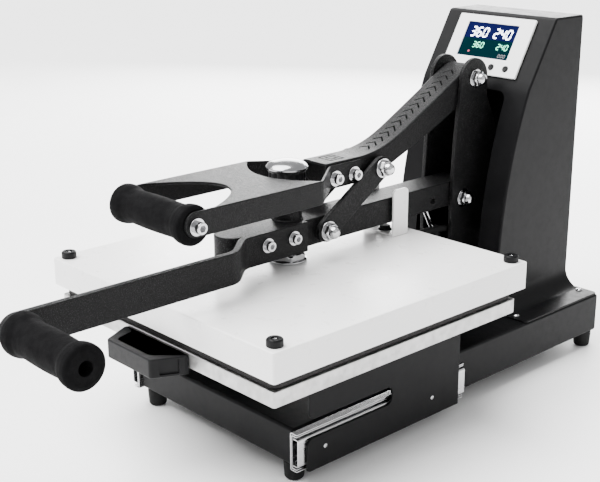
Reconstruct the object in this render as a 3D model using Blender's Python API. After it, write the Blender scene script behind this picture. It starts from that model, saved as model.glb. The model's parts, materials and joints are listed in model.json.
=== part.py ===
"""Tabletop heat press: a clamshell upper platen on a toggle linkage, over a slide-out lower platen.

Lengths are in millimetres until add_part() turns them into metres. X runs to the operator's right,
Y runs back from the front edge of the platen cover, and Z runs up from the table.
"""
from math import atan2, cos, degrees, hypot, pi, radians, sin

import bmesh
import bpy
from mathutils import Matrix, Vector

MM = 0.001
GAP = 0.3                    # clearance between pieces that touch
FINE, ROUND, SMALL = 28, 18, 12   # sides of large, middling and small turned pieces

# Driving dimensions
PLATEN = 400.0               # side of the square platen cover
COVER_BOTTOM, COVER_TOP = 163.0, 196.0
SHEET = 2.0                  # thickness of the folded steel sheets
BASE_HALF = 140.0
BASE_FRONT, BASE_BACK = 78.0, 653.0
BASE_BOTTOM, BASE_STEP, BASE_TOP = 22.0, 66.0, 75.0
BASE_STEP_Y = 345.0          # the base is lower in front of this line, under the drawer
TOWER_HALF, TOWER_TOP, TOWER_BACK = 89.5, 455.0, 645.0
COVE_RADIUS, FLANGE_HALF = 28.0, 139.5
OPENING_HALF, OPENING_TOP, OPENING_RADIUS = 55.0, 362.0, 12.0

# Pivots, as (y, z)
LEVER_PIVOT = (503.0, 380.0)
ARM_PIVOT = (487.0, 223.0)
TOGGLE_TOP = (327.0, 292.0)
TOGGLE_BOTTOM = (235.0, 231.5)
SPRING_TOP = (435.0, 226.0)
SPRING_BOTTOM = (505.0, 99.0)
SCREW_Y = 199.0              # the pressure screw stands on the platen's centre

LEVER_HALF, ARM_HALF, LEVER_WALL, ARM_WALL = 20.0, 20.6, 3.0, 4.0
FRAME_INNER, FRAME_OUTER = 21.4, 27.4
LINK_INNER, LINK_OUTER, LINK_RADIUS = 25.4, 31.4, 14.0
BOLT_RADIUS, BOLT_HOLE = 6.0, 6.3

YOKE_HALF, YOKE_WALL = 66.0, 3.0
YOKE_TOP, YOKE_BOTTOM = 306.0, 278.0
UPPER_GRIP = (15.0, 290.0)
LOWER_GRIP = (-190.0, 230.0)
BAR_INNER, BAR_OUTER, BAR_HALF_HEIGHT = 52.0, 60.0, 18.0

SLIDE_BOTTOM, SLIDE_TOP = 20.0, 65.0
SLIDE_FRONT, SLIDE_BACK = 74.0, 350.0
CARRIAGE_INNER, CARRIAGE_OUTER = 153.3, 156.3

# The sloping control face: its top edge as (y, z), and its length down the slope
FACE_TOP, FACE_LOW = (587.0, 454.0), (536.0, 368.0)
BEZEL_HALF, BEZEL_DROP, BEZEL_HEIGHT, BEZEL_THICK = 63.0, 6.0, 83.0, 3.5

FRONT_REACH, REAR_REACH = -212.2, BASE_BACK
MIDDLE_Y = (FRONT_REACH + REAR_REACH) / 2      # the part's origin lies under the middle of its box


# ---------------------------------------------------------------- scene and materials

def clear_scene():
    """Remove every object, mesh and material that is already there."""
    for thing in list(bpy.data.objects):
        bpy.data.objects.remove(thing, do_unlink=True)
    for mesh in list(bpy.data.meshes):
        bpy.data.meshes.remove(mesh)
    for material in list(bpy.data.materials):
        bpy.data.materials.remove(material)


def make_material(name, colour, roughness, metallic=0.0):
    """A plain Principled material."""
    material = bpy.data.materials.new(name)
    material.use_nodes = True
    shader = material.node_tree.nodes["Principled BSDF"]
    shader.inputs["Base Color"].default_value = (*colour, 1.0)
    shader.inputs["Roughness"].default_value = roughness
    shader.inputs["Metallic"].default_value = metallic
    material.diffuse_color = (*colour, 1.0)
    return material


def make_palette():
    """The finishes of the press, by name."""
    return {
        "black_coat": make_material("black_coat", (0.022, 0.022, 0.024), 0.42),
        "arm_coat": make_material("arm_coat", (0.03, 0.03, 0.032), 0.55),
        "white_coat": make_material("white_coat", (0.83, 0.82, 0.81), 0.32),
        "aluminium": make_material("aluminium", (0.72, 0.71, 0.69), 0.38, 1.0),
        "silicone": make_material("silicone", (0.13, 0.13, 0.13), 0.8),
        "insulation": make_material("insulation", (0.6, 0.57, 0.5), 0.9),
        "foam": make_material("foam", (0.012, 0.012, 0.012), 0.85),
        "black_plastic": make_material("black_plastic", (0.016, 0.016, 0.017), 0.4),
        "chrome": make_material("chrome", (0.75, 0.75, 0.76), 0.12, 1.0),
        "zinc": make_material("zinc", (0.62, 0.62, 0.64), 0.28, 1.0),
        "rubber": make_material("rubber", (0.014, 0.014, 0.014), 0.75),
        "panel_white": make_material("panel_white", (0.8, 0.8, 0.8), 0.35),
        "screen": make_material("screen", (0.01, 0.015, 0.05), 0.15),
        "circuit": make_material("circuit", (0.02, 0.16, 0.07), 0.5),
    }


# ---------------------------------------------------------------- shapes, in millimetres

def finish_mesh(bm):
    """Turn a bmesh into a mesh whose faces point outwards."""
    bmesh.ops.recalc_face_normals(bm, faces=bm.faces[:])
    mesh = bpy.data.meshes.new("shape")
    bm.to_mesh(mesh)
    bm.free()
    return mesh


def loft(sections):
    """A closed solid through loops of equally many points, capped at both ends."""
    bm = bmesh.new()
    rings = [[bm.verts.new(point) for point in section] for section in sections]
    count = len(rings[0])
    for low, high in zip(rings, rings[1:]):
        for i in range(count):
            j = (i + 1) % count
            bm.faces.new((low[i], low[j], high[j], high[i]))
    bm.faces.new(rings[0])
    bm.faces.new(rings[-1])
    return finish_mesh(bm)


def prism(axis, outline, start, stop):
    """An outline drawn square to an axis and extruded along it."""
    place = {
        "x": lambda u, v, w: (w, u, v),
        "y": lambda u, v, w: (u, w, v),
        "z": lambda u, v, w: (u, v, w),
    }[axis]
    return loft([[place(u, v, w) for u, v in outline] for w in (start, stop)])


def box(low, high):
    """A plain block between two corners."""
    outline = [(low[0], low[1]), (high[0], low[1]), (high[0], high[1]), (low[0], high[1])]
    return prism("z", outline, low[2], high[2])


def arc(centre, radius, start, stop, steps):
    """Points on a circle between two angles in degrees."""
    return [(centre[0] + radius * cos(radians(start + (stop - start) * i / steps)),
             centre[1] + radius * sin(radians(start + (stop - start) * i / steps)))
            for i in range(steps + 1)]


def rounded_rectangle(x0, x1, y0, y1, radius, steps=5):
    """A rectangle's outline with round corners."""
    return (arc((x1 - radius, y1 - radius), radius, 0, 90, steps)
            + arc((x0 + radius, y1 - radius), radius, 90, 180, steps)
            + arc((x0 + radius, y0 + radius), radius, 180, 270, steps)
            + arc((x1 - radius, y0 + radius), radius, 270, 360, steps))


def rounded_slab(x_range, y_range, z_range, radius, edge):
    """A slab with round upright corners and softened top and bottom edges."""
    sections = []
    for z, inset in ((z_range[0], edge), (z_range[0] + edge, 0.0),
                     (z_range[1] - edge, 0.0), (z_range[1], edge)):
        outline = rounded_rectangle(x_range[0] + inset, x_range[1] - inset,
                                    y_range[0] + inset, y_range[1] - inset, radius - inset)
        sections.append([(x, y, z) for x, y in outline])
    return loft(sections)


def turned(profile, base, direction, sides, closed=False):
    """Turn a profile of (radius, height) points about an axis through base.

    A profile that is not closed starts and ends on the axis.
    """
    turn = Vector((0, 0, 1)).rotation_difference(Vector(direction)).to_matrix().to_4x4()
    place = Matrix.Translation(base) @ turn
    bm = bmesh.new()
    rings = []
    for radius, height in profile:
        if radius == 0:
            rings.append([bm.verts.new(place @ Vector((0, 0, height)))])
            continue
        rings.append([bm.verts.new(place @ Vector((radius * cos(2 * pi * i / sides),
                                                   radius * sin(2 * pi * i / sides), height)))
                      for i in range(sides)])
    pairs = list(zip(rings, rings[1:]))
    if closed:
        pairs.append((rings[-1], rings[0]))
    for low, high in pairs:
        for i in range(sides):
            j = (i + 1) % sides
            if len(low) == 1:
                bm.faces.new((low[0], high[j], high[i]))
            elif len(high) == 1:
                bm.faces.new((low[i], low[j], high[0]))
            else:
                bm.faces.new((low[i], low[j], high[j], high[i]))
    return finish_mesh(bm)


def rod(start, stop, radius, sides=SMALL):
    """A plain cylinder between two points."""
    span = Vector(stop) - Vector(start)
    return turned([(0, 0), (radius, 0), (radius, span.length), (0, span.length)],
                  start, span, sides)


def combine(mesh, others, operation):
    """Apply Boolean operations to a mesh, one after another."""
    scene = bpy.context.scene
    body = bpy.data.objects.new("body", mesh)
    scene.collection.objects.link(body)
    for other in others:
        tool = bpy.data.objects.new("tool", other)
        scene.collection.objects.link(tool)
        modifier = body.modifiers.new("combine", "BOOLEAN")
        modifier.operation = operation
        modifier.object = tool
        bpy.context.view_layer.update()
        graph = bpy.context.evaluated_depsgraph_get()
        result = bpy.data.meshes.new_from_object(body.evaluated_get(graph))
        body.modifiers.clear()
        body.data = result
        bpy.data.objects.remove(tool, do_unlink=True)
    result = body.data
    bpy.data.objects.remove(body, do_unlink=True)
    return result


def cut(mesh, *tools):
    """Take the tools' shapes out of a mesh."""
    return combine(mesh, tools, "DIFFERENCE")


def fuse(mesh, *others):
    """Join overlapping meshes into one body."""
    return combine(mesh, others, "UNION")


def across(pivot, half, radius, sides=ROUND):
    """A cylinder across the press, through a (y, z) point."""
    return rod((-half, *pivot), (half, *pivot), radius, sides)


# ---------------------------------------------------------------- bodies and parts

def make_bodies():
    """One empty for each moving body, on its joint's axis, under the root empty."""
    pivots = {
        "root": (0, 0, 0),
        "arm": (0, *ARM_PIVOT),
        "lever": (0, *LEVER_PIVOT),
        "links": (0, *TOGGLE_BOTTOM),
        "spring_cylinder": (0, *SPRING_BOTTOM),
        "spring_rod": (0, *SPRING_TOP),
        "upper_platen": (0, SCREW_Y, COVER_TOP),
        "pressure_screw": (0, SCREW_Y, COVER_TOP),
        "carriage": (0, SCREW_Y, 0),
        "slide_left": (-147, SLIDE_FRONT, 43),
        "slide_right": (147, SLIDE_FRONT, 43),
        "set_button": panel_point(19.8, 71.7, 0),
        "mode_button": panel_point(43.2, 71.7, 0),
        "power_switch": (50, TOWER_BACK + 1.3, 160),
    }
    bodies = {}
    for name, pivot in pivots.items():
        empty = bpy.data.objects.new("at_" + name, None)
        bpy.context.scene.collection.objects.link(empty)
        empty.location = Vector(pivot) * MM
        if name == "root":
            empty.location.y -= MIDDLE_Y * MM
        else:
            empty.parent = bodies["root"][0]
        bodies[name] = (empty, Vector(pivot))
    return bodies


def add_part(name, mesh, material, body, smooth=None):
    """Place a finished mesh as a named part of a body. smooth is the sharp angle in degrees."""
    empty, pivot = body
    mesh.name = name
    mesh.transform(Matrix.Scale(MM, 4) @ Matrix.Translation(-pivot))
    mesh.materials.clear()
    mesh.materials.append(material)
    if smooth is not None:
        mesh.shade_smooth()
        mesh.set_sharp_from_angle(angle=radians(smooth))
    part = bpy.data.objects.new(name, mesh)
    part.parent = empty
    bpy.context.scene.collection.objects.link(part)


def panel_point(x, down, out):
    """A point on the control face: down the slope from its top edge and out from it."""
    length = hypot(FACE_TOP[0] - FACE_LOW[0], FACE_TOP[1] - FACE_LOW[1])
    run = (FACE_LOW[0] - FACE_TOP[0]) / length
    fall = (FACE_LOW[1] - FACE_TOP[1]) / length
    return (x, FACE_TOP[0] + run * (down + BEZEL_DROP) + fall * out,
            FACE_TOP[1] + fall * (down + BEZEL_DROP) - run * out)


def panel_block(x_range, down_range, out_range):
    """A block lying square on the control face."""
    sections = []
    for out in out_range:
        sections.append([panel_point(x, down, out) for x, down in (
            (x_range[0], down_range[0]), (x_range[1], down_range[0]),
            (x_range[1], down_range[1]), (x_range[0], down_range[1]))])
    return loft(sections)


def panel_rod(x, down, out_range, radius, sides=SMALL):
    """A cylinder square to the control face."""
    return rod(panel_point(x, down, out_range[0]), panel_point(x, down, out_range[1]), radius, sides)


# ---------------------------------------------------------------- base and tower

def base_outline(inset):
    """Side view of the base: low at the front, under the drawer, and higher at the rear."""
    front, back = BASE_FRONT + inset, BASE_BACK - inset
    step = BASE_STEP_Y + inset
    return [(front, BASE_BOTTOM + inset), (back, BASE_BOTTOM + inset), (back, BASE_TOP - inset),
            (step, BASE_TOP - inset), (step, BASE_STEP - inset), (front, BASE_STEP - inset)]


def make_base():
    """The base pan, folded from sheet, with a lip round its open bottom."""
    corner = 8.0
    lip = 26.0
    shell = prism("x", base_outline(0.0), -BASE_HALF, BASE_HALF)
    inside = prism("x", base_outline(SHEET), -BASE_HALF + SHEET, BASE_HALF - SHEET)
    bottom = box((-BASE_HALF + lip, BASE_FRONT + lip, BASE_BOTTOM - 5),
                 (BASE_HALF - lip, BASE_BACK - lip, BASE_BOTTOM + 5))
    rounded = prism("z", rounded_rectangle(-BASE_HALF, BASE_HALF, BASE_FRONT, BASE_BACK, corner),
                    BASE_BOTTOM - 5, BASE_TOP + 5)
    shell = combine(shell, [rounded], "INTERSECT")
    return cut(shell, inside, bottom)


def make_foot(x, y):
    """A round rubber foot, a little narrower at the bottom."""
    height = BASE_BOTTOM - GAP
    profile = [(0, 0), (9.5, 0), (10.8, 1.5), (12, height - 4), (12, height), (0, height)]
    return turned(profile, (x, y, 0), (0, 0, 1), ROUND)


def tower_front(z):
    """How far back the tower's front face lies at a height: sloping above, then a long curve."""
    if z >= FACE_LOW[1]:
        share = (z - FACE_LOW[1]) / (FACE_TOP[1] - FACE_LOW[1])
        return FACE_LOW[0] + share * (FACE_TOP[0] - FACE_LOW[0])
    foot = 487.0
    share = max(z - BASE_TOP, 0.0) / (FACE_LOW[1] - BASE_TOP)
    return foot + (FACE_LOW[0] - foot) * share ** 2.45


def tower_half(z, offset):
    """Half the tower's width at a height, with the cove that spreads it to the flange."""
    centre = BASE_TOP + GAP + SHEET + COVE_RADIUS
    if z >= centre:
        return TOWER_HALF - offset
    drop = min(centre - z, COVE_RADIUS)
    reach = COVE_RADIUS + offset
    return TOWER_HALF + COVE_RADIUS - (max(reach ** 2 - drop ** 2, 0.0)) ** 0.5


def tower_solid(offset, back, bottom, top):
    """The tower's form, or the hollow inside it when offset is the sheet's thickness."""
    corner = 4.0
    cove_top = BASE_TOP + GAP + SHEET + COVE_RADIUS
    levels = [bottom + (cove_top - bottom) * i / 6 for i in range(6)]
    levels += [cove_top + (FACE_LOW[1] - cove_top) * i / 9 for i in range(10)] + [top]
    sections = []
    for z in levels:
        half = tower_half(z, offset)
        front = tower_front(z) + offset
        outline = ([(half, back)] + [(-half, back)]
                   + arc((-half + corner, front + corner), corner, 180, 270, 3)
                   + arc((half - corner, front + corner), corner, 270, 360, 3))
        sections.append([(x, y, z) for x, y in outline])
    return loft(sections)


def make_tower():
    """The tower's folded shell: open behind and below, with a tall opening in front."""
    floor = BASE_TOP + GAP
    shell = tower_solid(0.0, TOWER_BACK, floor + SHEET, TOWER_TOP)
    flange = prism("z", rounded_rectangle(-FLANGE_HALF, FLANGE_HALF, 488, BASE_BACK - 2, 6, 3),
                   floor, floor + SHEET + 0.5)
    inside = tower_solid(SHEET, TOWER_BACK + 20, floor + SHEET - 4, TOWER_TOP - SHEET)
    low = box((-TOWER_HALF + SHEET, 460, floor - 5),
              (TOWER_HALF - SHEET, TOWER_BACK + 20, floor + 20))
    low_back = box((-FLANGE_HALF + 16, 520, floor - 5), (FLANGE_HALF - 16, 630, floor + 0.4))
    reach = OPENING_HALF - OPENING_RADIUS
    crown = OPENING_TOP - OPENING_RADIUS
    opening = prism("y", [(-OPENING_HALF, floor - 8), (OPENING_HALF, floor - 8)]
                    + arc((reach, crown), OPENING_RADIUS, 0, 90, 5)
                    + arc((-reach, crown), OPENING_RADIUS, 90, 180, 5), 440, 600)
    return cut(fuse(shell, flange), inside, low, low_back, opening)


def make_back_cover():
    """The flat rear cover, with openings for the inlet and the switch."""
    low, high = BASE_TOP + 3.5, TOWER_TOP - 1
    back = TOWER_BACK + GAP
    plate = prism("y", rounded_rectangle(-TOWER_HALF + 1, TOWER_HALF - 1, low, high, 4, 3),
                  back, back + SHEET)
    inlet = box((35.7, back - 5, 103.7), (64.3, back + 5, 124.3))
    switch = box((39.7, back - 5, 153.7), (60.3, back + 5, 166.3))
    return cut(plate, inlet, switch)


def make_inlet():
    """The mains inlet: a socket with a face plate, and a recess open to the rear."""
    back = TOWER_BACK + GAP + SHEET + GAP
    block = box((36, back - 22, 104), (64, back + 1, 124))
    face = box((32, back, 100), (68, back + 2.5, 128))
    recess = box((39.5, back - 14, 107), (60.5, back + 6, 121))
    return cut(fuse(block, face), recess)


def make_rocker():
    """The power switch's rocker, tipped to its off position."""
    centre, tip = (TOWER_BACK + 1.3, 160.0), radians(-7)
    corners = [(-4.6, -6), (4.0, -6), (3.2, 0), (4.0, 6), (-4.6, 6)]
    outline = [(centre[0] + y * cos(tip) - z * sin(tip), centre[1] + y * sin(tip) + z * cos(tip))
               for y, z in corners]
    return prism("x", outline, 40, 60)


def make_frame_plate(side):
    """One of the two upright plates that carry both main pivots and end in a round ear."""
    centre = LEVER_PIVOT
    outline = ([(466, BASE_TOP + GAP), (466, 240), (470, 310), (477.4, 376)]
               + arc(centre, 26.0, 180, 0, 12)[1:]
               + [(530, 354), (548, 320), (562, 240), (562, BASE_TOP + GAP)])
    inner, outer = sorted((side * FRAME_INNER, side * FRAME_OUTER))
    plate = prism("x", outline, inner, outer)
    return cut(plate, across(LEVER_PIVOT, 60, BOLT_HOLE), across(ARM_PIVOT, 60, BOLT_HOLE))


def make_through_bolt(pivot, grip_half):
    """A bolt across the press with a washer and a domed nut outside each plate."""
    half = grip_half + GAP
    profile = [(0, -half - 17), (4.5, -half - 15.5), (7.6, -half - 11), (7.6, -half - 9),
               (9.8, -half - 8.5), (9.8, -half - 2.2), (12, -half - 2.2), (12, -half),
               (BOLT_RADIUS, -half)]
    profile += [(radius, -height) for radius, height in reversed(profile)]
    return turned(profile, (0, *pivot), (1, 0, 0), ROUND)


def make_controls(bodies, palette):
    """The bezel, its screen and its two round buttons, on the tower's sloping face."""
    buttons = {"set_button": 19.8, "mode_button": 43.2}
    row = 71.7
    bezel = panel_block((-BEZEL_HALF, BEZEL_HALF), (0, BEZEL_HEIGHT), (GAP, BEZEL_THICK))
    window = panel_block((-44.0, 40.0), (10.4, 60.0), (-3, 8))
    wells = [panel_rod(x, row, (-3, 8), 4.4) for x in buttons.values()]
    add_part("panel_bezel", cut(bezel, window, *wells), palette["panel_white"], bodies["root"])
    add_part("panel_screen", panel_block((-43.7, 39.7), (10.7, 59.7), (GAP, BEZEL_THICK - 0.6)),
             palette["screen"], bodies["root"])
    for name, x in buttons.items():
        add_part(name, panel_rod(x, row, (1.7, 5.2), 4.0), palette["black_plastic"],
                 bodies[name], 40)
    board = panel_block((-52, 52), (14, 70), (-16, -14.2))
    add_part("controller_board", board, palette["circuit"], bodies["root"])


# ---------------------------------------------------------------- lever, yoke and links

def channel(stations, half, wall):
    """An inverted U swept along stations of (y, top, bottom)."""
    sections = []
    for y, top, bottom in stations:
        inner = half - wall
        under = max(top - wall, bottom + 0.5)
        sections.append([(-half, y, bottom), (-half, y, top), (half, y, top), (half, y, bottom),
                         (inner, y, bottom), (inner, y, under), (-inner, y, under),
                         (-inner, y, bottom)])
    return loft(sections)


def make_lever():
    """The curved lever: a channel that rises from the yoke to the ears."""
    stations = [(243, 308.5, 277), (285, 308.5, 277), (305, 308.7, 278.5), (320, 310, 281),
                (335, 312.8, 284.5), (352, 318, 290), (370, 325.6, 297), (390, 336, 305),
                (420, 352.2, 317.5), (450, 368.6, 331), (475, 382.4, 343.5), (490, 390.5, 352),
                (500, 395, 358.5), (508, 396.5, 363), (515, 394, 367.5), (519.5, 389, 373)]
    body = channel(stations, LEVER_HALF, LEVER_WALL)
    # the lower front corner is cut back, so that the knob clears it as the press opens
    corner = prism("x", [(240, 270), (256, 270), (256, 276), (242, 290), (240, 290)], -40, 40)
    return cut(body, corner, across(LEVER_PIVOT, 40, BOLT_HOLE), across(TOGGLE_TOP, 40, BOLT_HOLE))


def yoke_leg(side):
    """A side of the yoke: straight from the grip, then bent in and back along the lever."""
    inner = LEVER_HALF + GAP
    outer = inner + YOKE_WALL
    plan = [(YOKE_HALF, 15), (YOKE_HALF, 194), (outer, 247), (outer, 298),
            (inner, 298), (inner, 246), (YOKE_HALF - YOKE_WALL, 193), (YOKE_HALF - YOKE_WALL, 15)]
    leg = prism("z", [(side * x, y) for x, y in plan], YOKE_BOTTOM, YOKE_TOP - 0.4)
    low, high = sorted((side * YOKE_HALF, side * (YOKE_HALF - YOKE_WALL)))
    half = (YOKE_TOP - 0.4 - YOKE_BOTTOM) / 2
    nose = prism("x", arc((UPPER_GRIP[0], YOKE_BOTTOM + half), half, 90, 270, 10)
                 + [(40, YOKE_BOTTOM), (40, YOKE_TOP - 0.4)], low, high)
    return fuse(leg, nose)


def make_yoke():
    """The folded yoke between grip and lever, its top cut out in front and behind."""
    front = [(x, 104 - 62 * (x / 63) ** 2) for x in range(-63, 64, 9)]
    rear = [(x, 161 + 31 * (x / 63) ** 2) for x in range(63, -64, -9)]
    top = prism("z", [(-YOKE_HALF + 0.4, 34)] + front + [(YOKE_HALF - 0.4, 34)]
                + [(YOKE_HALF - 0.4, 193)] + rear + [(-YOKE_HALF + 0.4, 193)],
                YOKE_TOP - YOKE_WALL, YOKE_TOP)
    yoke = fuse(yoke_leg(1), top, yoke_leg(-1))
    # a shallow relief under the bends, for the knob's rim
    relief = prism("x", [(238, 276), (252.5, 276), (249, 280.2), (241, 280.2)], -33, 33)
    return cut(yoke, across(UPPER_GRIP, 90, BOLT_HOLE), relief)


def make_grip(start, length, bore):
    """A foam grip with swollen ends, lying along X from start."""
    outline = [(bore, 0), (19.0, 0), (21.6, 2.5), (22.2, 7), (21.6, 12), (19.4, 18), (18.6, 26)]
    mirror = [(radius, length - height) for radius, height in reversed(outline)]
    middle = [(19.2, length / 2)]
    return turned(outline + middle + mirror, start, (1, 0, 0), FINE, closed=True)


def make_upper_grip_rod():
    """The rod through the upper grip, with its washers and cap heads outside the yoke."""
    half = YOKE_HALF + GAP
    profile = [(0, -half - 11), (6.5, -half - 11), (6.5, -half - 3), (9.5, -half - 3),
               (9.5, -half), (BOLT_RADIUS, -half)]
    profile += [(radius, -height) for radius, height in reversed(profile)]
    return turned(profile, (0, *UPPER_GRIP), (1, 0, 0), ROUND)


def make_link(side):
    """A flat toggle link with round ends and a hole at each."""
    angle = degrees(atan2(TOGGLE_TOP[1] - TOGGLE_BOTTOM[1], TOGGLE_TOP[0] - TOGGLE_BOTTOM[0]))
    outline = (arc(TOGGLE_TOP, LINK_RADIUS, angle - 90, angle + 90, 10)
               + arc(TOGGLE_BOTTOM, LINK_RADIUS, angle + 90, angle + 270, 10))
    inner, outer = sorted((side * LINK_INNER, side * LINK_OUTER))
    link = prism("x", outline, inner, outer)
    return cut(link, across(TOGGLE_TOP, 60, BOLT_HOLE), across(TOGGLE_BOTTOM, 60, BOLT_HOLE))


def make_link_nut(side):
    """The washer and domed nut that close a link's upper end."""
    start = LINK_OUTER + GAP
    profile = [(0, start), (12, start), (12, start + 2.2), (9.8, start + 2.2),
               (9.8, start + 8.5), (7.6, start + 9), (7.6, start + 11),
               (4.5, start + 15.5), (0, start + 17)]
    return turned(profile, (0, *TOGGLE_TOP), (side, 0, 0), ROUND)


# ---------------------------------------------------------------- lower arm and its handle

def make_arm():
    """The lower arm: a channel with a round nose and a welded boss for the pressure screw."""
    top, bottom, rear = 247.0, 214.0, 502.0
    nose = (0.0, 94 + ARM_HALF)
    outer = arc(nose, ARM_HALF, 180, 360, 14) + [(ARM_HALF, rear), (-ARM_HALF, rear)]
    inner_radius = ARM_HALF - ARM_WALL
    inner = arc(nose, inner_radius, 180, 360, 14) + [(inner_radius, rear + 9), (-inner_radius, rear + 9)]
    boss = turned([(0, top - 2), (17, top - 2), (17, top + 10.5), (15.5, top + 12), (0, top + 12)],
                  (0, SCREW_Y, 0), (0, 0, 1), ROUND)
    body = fuse(prism("z", outer, bottom, top), boss)
    return cut(body, prism("z", inner, bottom - 5, top - ARM_WALL),
               across(ARM_PIVOT, 40, BOLT_HOLE), across(TOGGLE_BOTTOM, 40, BOLT_HOLE),
               across(SPRING_TOP, 40, 4.3, SMALL),
               rod((0, SCREW_Y, top - 10), (0, SCREW_Y, top + 20), 10.4, ROUND))


def make_bar():
    """The lower handle's flat bar: straight beside the arm, joggled out, then straight forward."""
    inner = ARM_HALF + GAP
    outer = inner + 8.0
    middle = LOWER_GRIP[1]
    low, high = middle - BAR_HALF_HEIGHT, middle + BAR_HALF_HEIGHT
    plan = [(inner, 205), (inner, 108), (BAR_INNER, 73), (BAR_INNER, -180), (BAR_OUTER, -180),
            (BAR_OUTER, 76), (outer, 111), (outer, 205)]
    bar = prism("z", plan, low, high)
    nose = prism("x", arc(LOWER_GRIP, BAR_HALF_HEIGHT, 90, 270, 10)
                 + [(-150, low), (-150, high)], BAR_INNER, BAR_OUTER)
    return cut(fuse(bar, nose), rod((40, *LOWER_GRIP), (70, *LOWER_GRIP), 5.4))


def make_lower_grip_bolt():
    """The bolt that holds the lower grip to its bar: a nut inside, and the shank in the bore."""
    profile = [(0, 41), (8.5, 41), (8.5, BAR_INNER - GAP), (5.0, BAR_INNER - GAP),
               (5.0, BAR_OUTER + 1.0), (6.0, BAR_OUTER + 1.0), (6.0, 150), (0, 150)]
    return turned(profile, (0, *LOWER_GRIP), (1, 0, 0), ROUND)


# ---------------------------------------------------------------- pressure screw

def make_screw():
    """The pressure screw's shank, from the collar on the platen up into the knob."""
    profile = [(0, 206.6), (8, 206.6), (10, 208.6), (10, 283), (0, 283)]
    return turned(profile, (0, SCREW_Y, 0), (0, 0, 1), ROUND)


def make_knob():
    """The pressure knob: a fluted body under a low dome with a wider rim."""
    sides = FINE
    rings = [(8, 283.4), (20, 283.4), (22, 285.5), (22, 305), (23, 307), (24.8, 308.5), (24.8, 310)]
    rings += [(24.8 * cos(radians(a)), 310 + 9 * sin(radians(a))) for a in (25, 50, 72)]
    bm = bmesh.new()
    loops = []
    for radius, z in rings:
        loop = []
        for i in range(sides):
            angle = 2 * pi * i / sides
            flute = 1.4 if radius == 22 and i % 4 < 2 else 0.0
            loop.append(bm.verts.new(((radius - flute) * cos(angle),
                                      SCREW_Y + (radius - flute) * sin(angle), z)))
        loops.append(loop)
    for low, high in zip(loops, loops[1:]):
        for i in range(sides):
            j = (i + 1) % sides
            bm.faces.new((low[i], low[j], high[j], high[i]))
    bm.faces.new(loops[0])
    bm.faces.new(loops[-1])
    return finish_mesh(bm)


def make_collar():
    """The chrome collar on the cover: a hexagon over a round flange."""
    low = COVER_TOP + GAP
    flange = turned([(0, low), (23, low), (23, low + 3.5), (0, low + 3.5)],
                    (0, SCREW_Y, 0), (0, 0, 1), FINE)
    hexagon = prism("z", [(x, y + SCREW_Y) for x, y in arc((0, 0), 20, 0, 300, 5)], low + 2, 206.2)
    return fuse(flange, hexagon)


# ---------------------------------------------------------------- platens

def make_cover():
    """The white cover, a shallow tray turned over, open below."""
    half = PLATEN / 2
    body = rounded_slab((-half, half), (0, PLATEN), (COVER_BOTTOM, COVER_TOP), 3, 1.2)
    inside = prism("z", rounded_rectangle(-half + SHEET, half - SHEET, SHEET, PLATEN - SHEET, 1.5),
                   COVER_BOTTOM - 5, COVER_TOP - SHEET)
    return cut(body, inside)


def make_bracket():
    """The white guide bracket on the cover, with a tab on each side of the arm."""
    low = COVER_TOP + GAP
    base = box((-26.5, 354, low), (26.5, 381, low + 2.5))
    well = rod((0, 367, low - 5), (0, 367, low + 8), 9.0)
    tabs = []
    for side in (-1, 1):
        outline = ([(354, low), (381, low)] + arc((375, 251), 6, 0, 90, 4)
                   + arc((360, 251), 6, 90, 180, 4))
        inner, outer = sorted((side * 23.5, side * 26.5))
        tabs.append(prism("x", outline, inner, outer))
    return cut(fuse(base, *tabs), well)


def make_corner_knob(x, y):
    """A black thumb nut at a corner of the cover."""
    low = COVER_TOP + GAP
    profile = [(0, low), (8.8, low), (8.8, low + 6.6), (7.6, low + 8), (5, low + 8),
               (4.4, low + 6.8), (0, low + 6.8)]
    return turned(profile, (x, y, 0), (0, 0, 1), ROUND)


def make_gland():
    """The round gland on the cover, inside the bracket, over the thermostat's lead."""
    low = COVER_TOP + GAP
    profile = [(0, low), (8.4, low), (8.4, low + 5), (6.5, low + 8), (0, low + 8)]
    return turned(profile, (0, 367, 0), (0, 0, 1), ROUND)


def make_conduit():
    """The heater lead's sleeve, from the cover's rear wall into the tower."""
    start, bend, stop = Vector((15, 401, 184)), Vector((15, 450, 190)), Vector((15, 540, 168))
    curve = bpy.data.curves.new("sleeve", "CURVE")
    curve.dimensions = "3D"
    spline = curve.splines.new("POLY")
    count = 14
    spline.points.add(count - 1)
    for i in range(count):
        t = i / (count - 1)
        point = start * (1 - t) ** 2 + bend * 2 * t * (1 - t) + stop * t ** 2
        spline.points[i].co = (*point, 1)
    curve.bevel_depth = 4.5
    curve.bevel_resolution = 2
    curve.use_fill_caps = True
    holder = bpy.data.objects.new("sleeve", curve)
    bpy.context.scene.collection.objects.link(holder)
    bpy.context.view_layer.update()
    graph = bpy.context.evaluated_depsgraph_get()
    mesh = bpy.data.meshes.new_from_object(holder.evaluated_get(graph))
    bpy.data.objects.remove(holder, do_unlink=True)
    bm = bmesh.new()
    bm.from_mesh(mesh)
    bmesh.ops.remove_doubles(bm, verts=bm.verts[:], dist=0.001)
    return finish_mesh(bm)


# ---------------------------------------------------------------- drawer

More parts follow.
